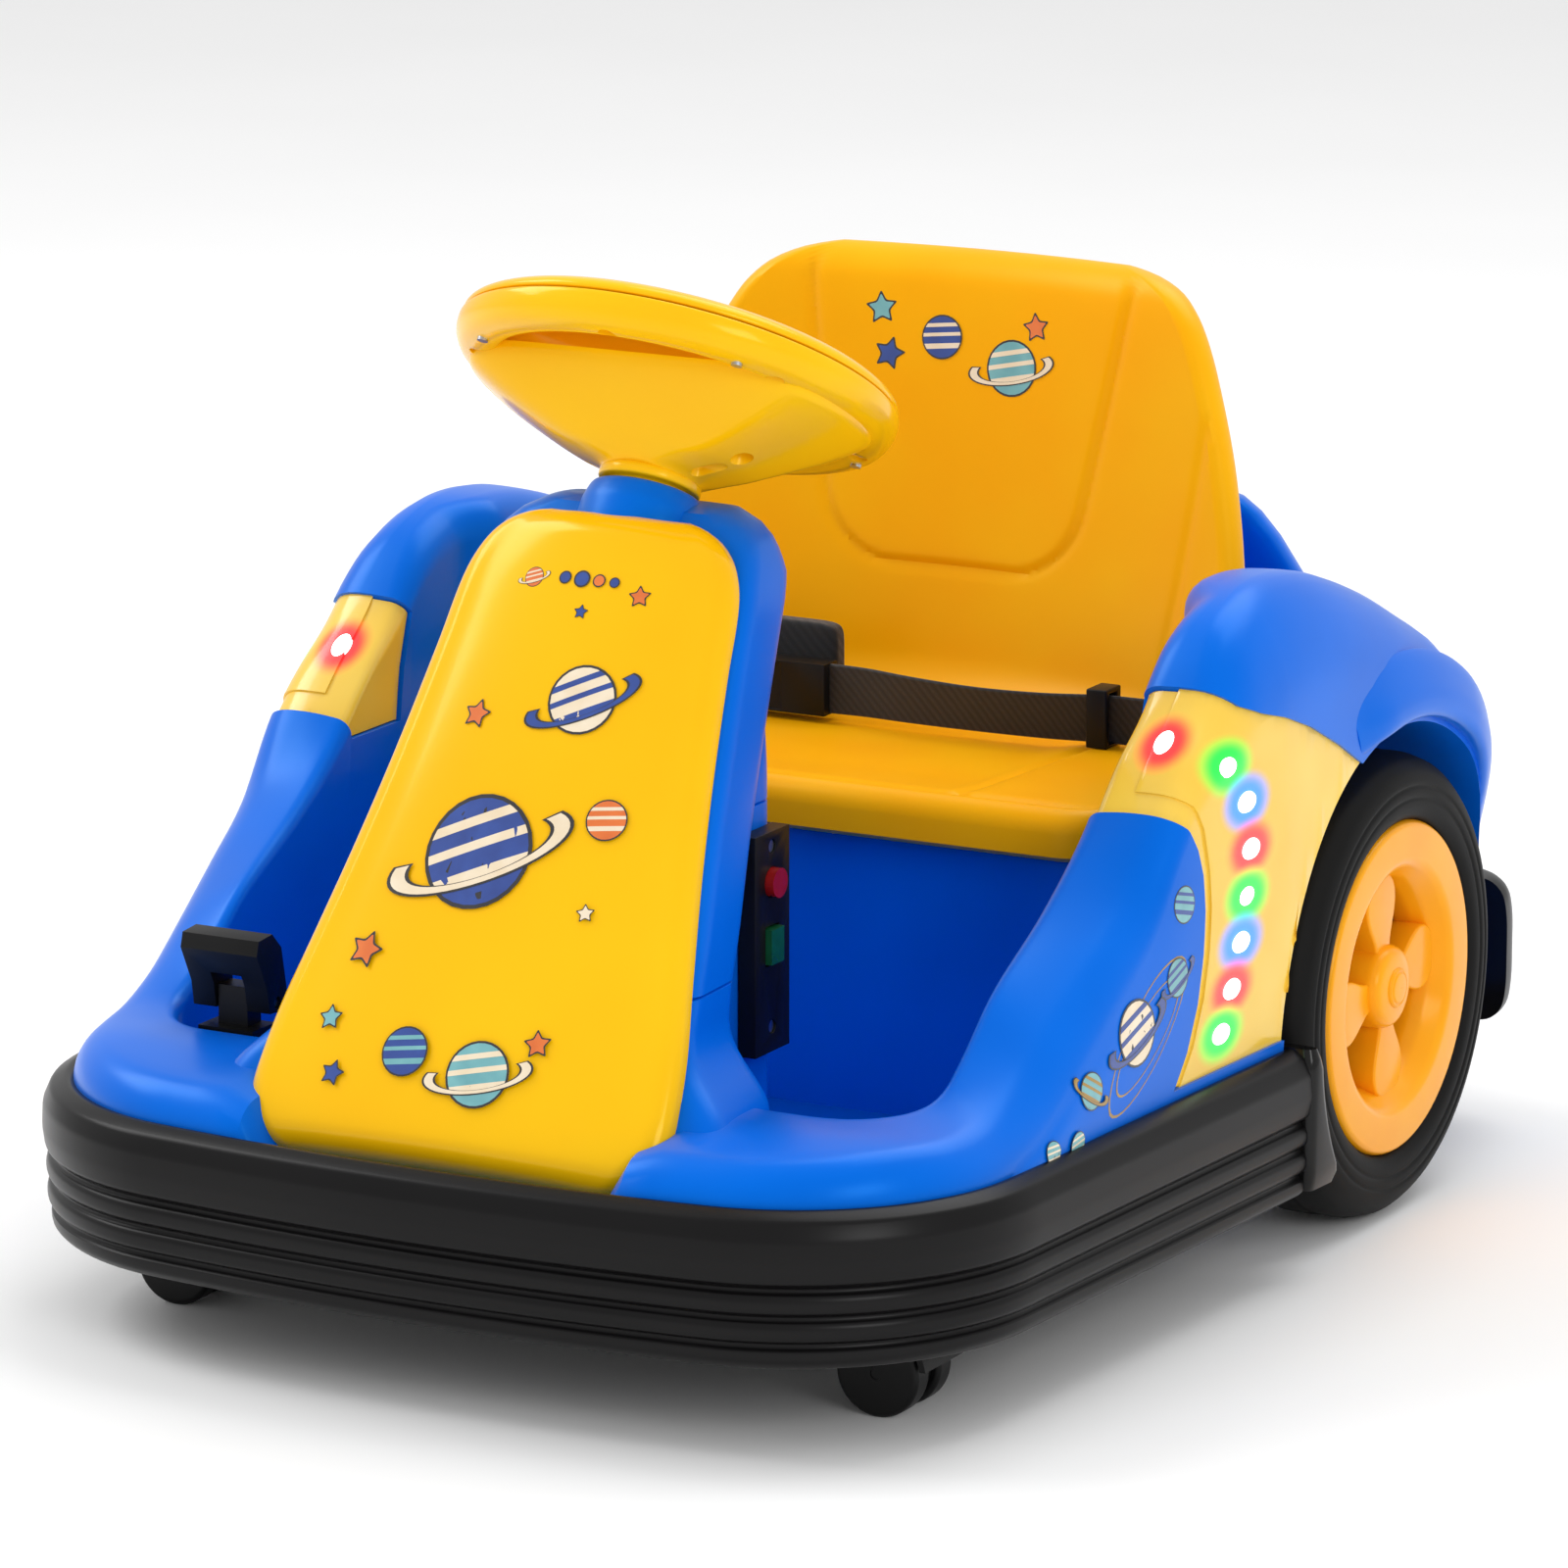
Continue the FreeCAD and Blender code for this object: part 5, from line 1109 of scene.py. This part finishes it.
def tyre():
    """Foam tyre with a rounded shoulder and fine ribs round its side."""
    outline = [(82.6, 3), (103, 1), (112, 6), (115, 14), (115, 30), (114.2, 31), (114.2, 33), (115, 34),
               (115, 41),
               (112.5, 50), (107, 55.5), (101, 57.5), (99.5, 56.6), (98, 57.6), (95, 57.8), (93.5, 56.8),
               (92, 57.6),
               (87, 57), (82.6, 54)]
    return turned("tyre", flowing(outline, 2.4, 3), 128)


# Distance out from the hub, and the paddle's half width there.
PADDLE = ((14, 8), (20, 8.5), (27, 12), (34, 16), (41, 18.6), (48, 18.2), (54, 14.5), (58, 8))


def blade():
    """One of the rim's four paddles, narrow at the hub and broad outside, with a sunk face."""
    outline = [(radius, -half, 30) for radius, half in PADDLE]
    outline += [(radius, half, 30) for radius, half in PADDLE[::-1]]
    piece = stood("blade", rounded(outline, 5, 3), (0, 0, 18))
    for face in piece.data.polygons:
        face.select = face.normal.z > 0.9
    only(piece)
    bpy.ops.object.mode_set(mode="EDIT")
    bpy.ops.mesh.select_mode(type="FACE")
    bpy.ops.transform.resize(value=(0.94, 0.86, 1), center_override=(38 * MM, 0, 48 * MM))
    bpy.ops.mesh.inset(thickness=1.6 * MM, depth=0.4 * MM)
    leave()
    return eased(piece, 1.5, 4, 30)


def rim():
    """Flat ring whose inside falls to a dish, a domed hub and four deep paddles with windows between them."""
    ring = ((50, 31), (82.4, 26), (82.8, 53), (81, 56.4), (63, 56.4), (60, 54.5), (54, 47), (51, 40))
    pieces = [spun("rim_ring", ring, 1.8)]
    pieces.append(eased(turned("rim_barrel", [(54, 4), (82.4, 4), (82.4, 28), (54, 28)], 96), 1, 2))
    pieces.append(spun("rim_hub", ((0.01, 20), (19, 20), (21.5, 34), (20.8, 49), (18.5, 53.4), (12, 54.6),
                                   (0.01, 54.8)), 2.4, 64))
    petal = blade()
    for number in range(4):
        pieces.append(twin(petal, f"rim_blade_{number}", Matrix.Rotation(math.radians(90 * number + 7), 4,
                                                                         "Z")))
    bpy.data.objects.remove(petal)
    return joined("rim", pieces)


def wheel_dark():
    """The dark inside of the wheel, behind the paddles."""
    return eased(turned("rim_inside", [(18, 22), (53, 22), (53, 31), (18, 31)], 64), 0.8, 2)


def hub_cap():
    """Round cap let into the hub's middle."""
    return spun("hub_cap", ((0.01, 50), (10, 50), (10, 55), (8.8, 56.3), (8, 55.6), (7.2, 56.6), (0.01,
                                                                                                  57)), 0.7,
                                                                                                  48)


def wheels():
    """Both rear wheels, each piece turned once and copied to its side."""
    makers = ((tyre, "tyre", FOAM, "tyre_foam", "tyre"), (rim, "rim", ORANGE, "rim_plastic", "rim"),
              (wheel_dark, "rim_inside", FITTING, None, None), (hub_cap, "hub_cap", ORANGE, "rim_plastic",
                                                                "hub_cap"))
    for make, label, material, slot, node in makers:
        piece = make()
        for side, name in ((1, "left"), (-1, "right")):
            spot = Matrix.Translation((side * TYRE_LOW.x, AXLE.y, AXLE.z))
            copy = twin(piece, f"{label}_{name}_moulding", spot @ Matrix.Rotation(side * math.pi / 2, 4, "Y"))
            done(copy, f"wheel_{name}", material, [f"{node}_{name}"] if node else ())
        bpy.data.objects.remove(piece)


# ---------------------------------------------------------------- lap belt

# Cross-section of the webbing, in shares of its width and thickness.
WEBBING_EDGE = ((-0.5, -0.2), (-0.47, -0.5), (0.47, -0.5), (0.5, -0.2), (0.5, 0.2), (0.47, 0.5), (-0.47, 0.5),
                (-0.5, 0.2))


def ribbon(name, path, width, thick):
    """Webbing on its edge along plan points (x, y, height of its middle, lean in degrees)."""
    table = [(number, *row) for number, row in enumerate(path)]
    last = len(path) - 1
    sections = []
    for number in range(last * 8 + 1):
        at = number / 8
        *centre, lean = columns(table, at)
        ahead, behind = columns(table, min(at + 0.1, last)), columns(table, max(at - 0.1, 0))
        run = (Vector(ahead[:3]) - Vector(behind[:3])).normalized()
        lean = math.radians(lean)
        level = Vector((-run.y, run.x, 0)).normalized()
        rise = run.cross(level).normalized()
        wide = (rise if rise.z > 0 else -rise) * math.cos(lean) + level * math.sin(lean)
        flat = wide.cross(run).normalized()
        sections.append([Vector(centre) + wide * (a * width) + flat * (b * thick) for a, b in WEBBING_EDGE])
    return loft(name, sections)


def belt():
    """Lap belt lying over the seat with its buckle shut."""
    low = SEAT_LOW.z + 25.6
    left = ((172, 112, low + 14, 0), (150, 107, low + 13, 6), (122, 105.5, low + 13, 10), (90, 101,
                                                                                           low + 12.2, 16),
            (55, 99, low + 12, 18), (20, 100, low + 12.4, 12), (-8, 102, low + 13, 4), (-30, 102, low + 13,
                                                                                        0))
    right = ((-172, 112, low + 14, 0), (-150, 107, low + 13, -4), (-126, 103.5, low + 13, 0),
             (-98, 102, low + 13, 0))
    done(ribbon("lap_belt_left", left, 25, 2), "car", WEB, ["belt_strap_left"])
    done(ribbon("lap_belt_right", right, 25, 2), "car", WEB, ["belt_strap_right"])
    glide = block("tri_glide", (115, 97, low - 0.4), (126, 114, low + 29))
    carved(glide, block("slot", (110, 101.5, low + 1.5), (130, 109.5, low + 26.5)))
    done(eased(glide, 1.3, 3), "car", FITTING, ["belt_adjuster"])
    socket = block("buckle_socket_body", (-71, 95, low), (-28, 109, low + 26))
    for y in (94, 110):
        carved(socket, moved(turned("thumb", bar(6.5, -12, 12), 32),
                             Matrix.Translation((-60, y, low + 13)) @ Matrix.Diagonal((1.4, 0.35, 1, 1))))
    done(eased(socket, 2.6, 4), "car", FITTING, ["buckle_socket"])
    tongue = block("buckle_tongue_body", (-100, 96.5, low + 1), (-71.4, 107.5, low + 25))
    carved(tongue, block("gate", (-96, 90, low + 5), (-90, 115, low + 21)))
    done(eased(tongue, 1.8, 3), "car", FITTING, ["buckle_tongue"])
    done(pad(low), "car", PAD, ["belt_pad"])


def pad(low):
    """Soft pad behind the buckle: cloth blown out round its foam."""
    piece = block("belt_cushion", (-104, 119, low + 0.3), (-34, 130, low + 41))
    edit(piece)
    bpy.ops.mesh.subdivide(number_cuts=11)
    leave()
    modify(piece, "SMOOTH", factor=0.5, iterations=12)
    cloth = piece.modifiers.new("Cloth", "CLOTH")
    for name, value in (("quality", 6), ("mass", 0.02), ("use_pressure", True),
                        ("uniform_pressure_force", 1.2),
                        ("tension_stiffness", 40), ("compression_stiffness", 40), ("bending_stiffness",
                                                                                   1.5)):
        setattr(cloth.settings, name, value)
    cloth.settings.effector_weights.gravity = 0
    cloth.point_cache.frame_end = 18
    for number in range(1, 19):
        bpy.context.scene.frame_set(number)
    only(piece)
    bpy.ops.object.modifier_apply(modifier=cloth.name)
    bpy.context.scene.frame_set(1)
    modify(piece, "SUBSURF", levels=1, render_levels=1)
    return piece


# ---------------------------------------------------------------- printed decals

# Every drawing is a list of (ink, outline), from the lowest film up.

def round_spot(x, y, radius, steps=28):
    angles = [math.tau * i / steps for i in range(steps)]
    return [(x + radius * math.cos(a), y + radius * math.sin(a)) for a in angles]


def star_spot(x, y, radius, turn=0):
    points = []
    for i in range(10):
        angle = math.radians(90 + 36 * i + turn)
        far = radius * (0.5 if i % 2 else 1)
        points.append((far * math.cos(angle), far * math.sin(angle)))
    return [(x + a, y + b) for a, b in flowing(points, radius * 0.14, 2)]


def belt_spot(x, y, radius, low, high, turn=0):
    """A stripe across a planet, between two shares of its radius."""
    lower, upper = math.asin(low), math.asin(high)
    angles = [lower + (upper - lower) * i / 5 for i in range(6)]
    right = [(radius * math.cos(a), radius * math.sin(a)) for a in angles]
    points = right + [(-a, b) for a, b in right[::-1]]
    return turned_spot(points, x, y, turn)


def arc_spot(x, y, radius, flat, width, start, end, turn=0):
    """Part of a flattened ring, as round a planet or along an orbit."""
    angles = [math.radians(start + (end - start) * i / 30) for i in range(31)]
    outer = [(radius * math.cos(a), radius * flat * math.sin(a)) for a in angles]
    inner = [((radius - width) * math.cos(a), (radius - width) * flat * math.sin(a)) for a in angles[::-1]]
    return turned_spot(outer + inner, x, y, turn)


def turned_spot(points, x, y, turn):
    """An outline turned and set down at a place."""
    c, s = math.cos(math.radians(turn)), math.sin(math.radians(turn))
    return [(x + a * c - b * s, y + a * s + b * c) for a, b in points]


def star(x, y, radius, ink, turn=0):
    return [("line", star_spot(x, y, radius, turn)), (ink, star_spot(x, y, radius * 0.8, turn))]


def planet(x, y, radius, ink, stripe, ringed=True, turn=18):
    """A striped planet with a dark edge, and a ring round it if it has one."""
    made = [("line", round_spot(x, y, radius)), (ink, round_spot(x, y, radius * 0.93))]
    for low, high in ((-0.55, -0.3), (0.05, 0.22), (0.5, 0.68)):
        made.append((stripe, belt_spot(x, y, radius * 0.93, low, high, turn)))
    if ringed:
        made.append(("line", arc_spot(x, y, radius * 1.75, 0.34, radius * 0.42, -205, 25, turn)))
        made.append((stripe, arc_spot(x, y, radius * 1.68, 0.33, radius * 0.28, -203, 23, turn)))
    return made


def stuck(label, drawings, target, place, axis):
    """Lays drawings on a surface: each is thin film pressed on along an axis and given a back."""
    films = {}
    for layer, (ink, points) in enumerate(drawings):
        film = outlined("film", [(a, b, 0) for a, b in points])
        edit(film)
        bpy.ops.mesh.quads_convert_to_tris(quad_method="BEAUTY", ngon_method="BEAUTY")
        bpy.ops.mesh.subdivide(number_cuts=3)
        leave()
        moved(film, place)
        modify(film, "SHRINKWRAP", target=target, wrap_method="PROJECT", offset=(0.12 + 0.03 * layer) * MM,
               use_negative_direction=True, use_positive_direction=True, **{f"use_project_{axis}": True})
        modify(film, "SOLIDIFY", thickness=0.05 * MM, offset=-1)
        films.setdefault(ink, []).append(film)
    return {ink: joined(f"{label}_{ink}", pieces) for ink, pieces in films.items()}


def hood_drawings():
    made = planet(-27, 283, 5, "rust", "cream") + star(30, 279, 6, "rust", 10) + star(3, 268, 4, "navy")
    for x, radius, ink in ((-10, 3.2, "navy"), (-1, 4.2, "navy"), (8, 3.2, "rust"), (16, 2.6, "navy")):
        made += [("line", round_spot(x, 284, radius)), (ink, round_spot(x, 284, radius * 0.8))]
    made += star(-37, 214, 8, "rust", -8) + planet(16, 226, 17, "cream", "navy", True, 28)
    made += planet(-16, 148, 28, "navy", "cream", True, 24) + planet(44, 171, 10, "rust", "cream", False, 10)
    made += star(46, 126, 5, "cream", 12) + star(-62, 96, 10, "rust", -14)
    made += star(-71, 62, 7, "teal", 6) + star(-62, 36, 7, "navy", -10) + star(40, 62, 7.5, "rust", 12)
    made += planet(14, 44, 16, "teal", "cream", True, 14) + planet(-26, 50, 12, "navy", "teal", False, 8)
    return made


def side_drawings():
    made = [("gold", arc_spot(-108, 152, 46, 0.36, 1.7, 0, 359, 40)),
            ("gold", arc_spot(-108, 152, 36, 0.34, 1.4, 0, 359, 36))]
    made += planet(-72, 207, 9, "teal", "navy", False, -14) + planet(-80, 174, 9.5, "teal", "navy", True, 22)
    made += planet(-118, 156, 16, "cream", "navy", True, 20) + planet(-160, 138, 9, "teal", "gold", True, -30)
    made += planet(-196, 117, 6, "teal", "cream", False, 0) + planet(-174, 116, 6.5, "teal", "cream", False,
                                                                     8)
    return made


def back_drawings():
    made = star(-50, 420, 9, "teal", 8) + star(-44, 398, 9, "navy", -12) + star(36, 417, 8, "rust", 10)
    made += planet(24, 396, 14, "teal", "cream", True, 12) + planet(-16, 408, 11, "navy", "cream", False, 6)
    return made


# ---------------------------------------------------------------- CAD nodes that show

def dress_frame():
    """Gives every CAD node that stays its own material."""
    dressing = {
        FITTING: ("chassis_base", "control_panel", "pedal", "pedal_bracket", "pedal_switch", "control_box",
                  "speaker",
                  "charging_socket", "steering_switch_box", "caster_fork_left", "caster_fork_right",
                  "caster_wheels_left", "caster_wheels_right"),
        STEEL: ("rear_axle", "axle_washers", "axle_nuts", "steering_shaft", "steering_screws", "panel_screws",
                "pedal_pin", "belt_anchor_screws", "motor_left", "motor_right"),
        NYLON: ("gearbox_left", "gearbox_right", "output_gear_left", "output_gear_right", "steering_bush"),
        BRASS: ("motor_pinion_left", "motor_pinion_right"), JAR: ("battery",), BOARD: ("lamp_boards",),
        RED: ("power_button",), GREEN: ("rocker_switch",)}
    for material, names in dressing.items():
        for name in names:
            painted(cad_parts[name], material)


def ease_node(node, body, material, width):
    """A copy of a CAD node's solid with its sharp edges rounded, standing for it."""
    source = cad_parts[node]
    copy = source.copy()
    copy.data = source.data.copy()
    copy.name = f"{node}_moulding"
    for key in list(copy.keys()):
        del copy[key]
    copy.parent = None
    bpy.context.collection.objects.link(copy)
    edit(copy)
    bpy.ops.mesh.remove_doubles(threshold=0.005 * MM)
    bpy.ops.mesh.dissolve_limited(angle_limit=math.radians(2))
    leave()
    eased(copy, width, 3, 40)
    return done(copy, body, material, [node])


# ---------------------------------------------------------------- camera and light

def camera():
    """A long lens from the driver's left in front."""
    azimuth, elevation, distance = math.radians(28.52), math.radians(13.11), 4240.8
    target = Vector((0, -12, 229.3))
    back = Vector((math.sin(azimuth) * math.cos(elevation), -math.cos(azimuth) * math.cos(elevation),
                   math.sin(elevation)))
    bpy.ops.object.camera_add(location=(target + back * distance) * MM,
                              rotation=(-back).to_track_quat("-Z", "Y").to_euler())
    view = bpy.context.object
    view.data.lens = 202.1
    view.data.sensor_width = 36
    view.data.shift_x, view.data.shift_y = 0.0088, -0.0068
    view.data.clip_end = 50
    bpy.context.scene.camera = view


def studio():
    """Pale floor and three soft lamps."""
    floor = added("studio_floor", bpy.ops.mesh.primitive_plane_add, size=12)
    material, tree, shader, place = blank("matt_paper_white")
    cloud = add(tree, "ShaderNodeTexNoise", {"Vector": place, "Scale": 3.0})
    tone = add(tree, "ShaderNodeValToRGB", {"Fac": cloud["Fac"]}, ((0, "#FAFAFA"), (1, "#FEFEFE")))
    feed(tree, shader, {"Base Color": tone["Color"], "Roughness": 0.9})
    painted(floor, material)
    aim = Vector((0, 0, 0.2))
    for name, place, size, power in (("key_light", (-2.5, -0.5, 2.5), 1.6, 40),
                                     ("fill_light", (2.7, -1.8, 1.5), 1.2, 20),
                                     ("top_light", (0.4, 1.4, 3.0), 2.2, 36)):
        lamp = added(name, bpy.ops.object.light_add, type="AREA", location=place)
        lamp.data.size = size
        lamp.data.energy = power
        lamp.rotation_euler = (aim - Vector(place)).to_track_quat("-Z", "Y").to_euler()
    world = bpy.data.worlds.new("studio_air")
    world.use_nodes = True
    world.node_tree.nodes["Background"].inputs["Color"].default_value = (1, 1, 1, 1)
    world.node_tree.nodes["Background"].inputs["Strength"].default_value = 0.75
    bpy.context.scene.world = world
    bpy.context.scene.view_settings.view_transform = "Standard"


def main():
    dress_frame()
    front_bumper()
    end_clip()
    rear_bumper()
    body()
    seat()
    steering_wheel()
    wheels()
    belt()
    ease_node("control_panel", "car", FITTING, 1.5)
    ease_node("pedal", "pedal_body", FITTING, 2.0)
    camera()
    studio()


main()
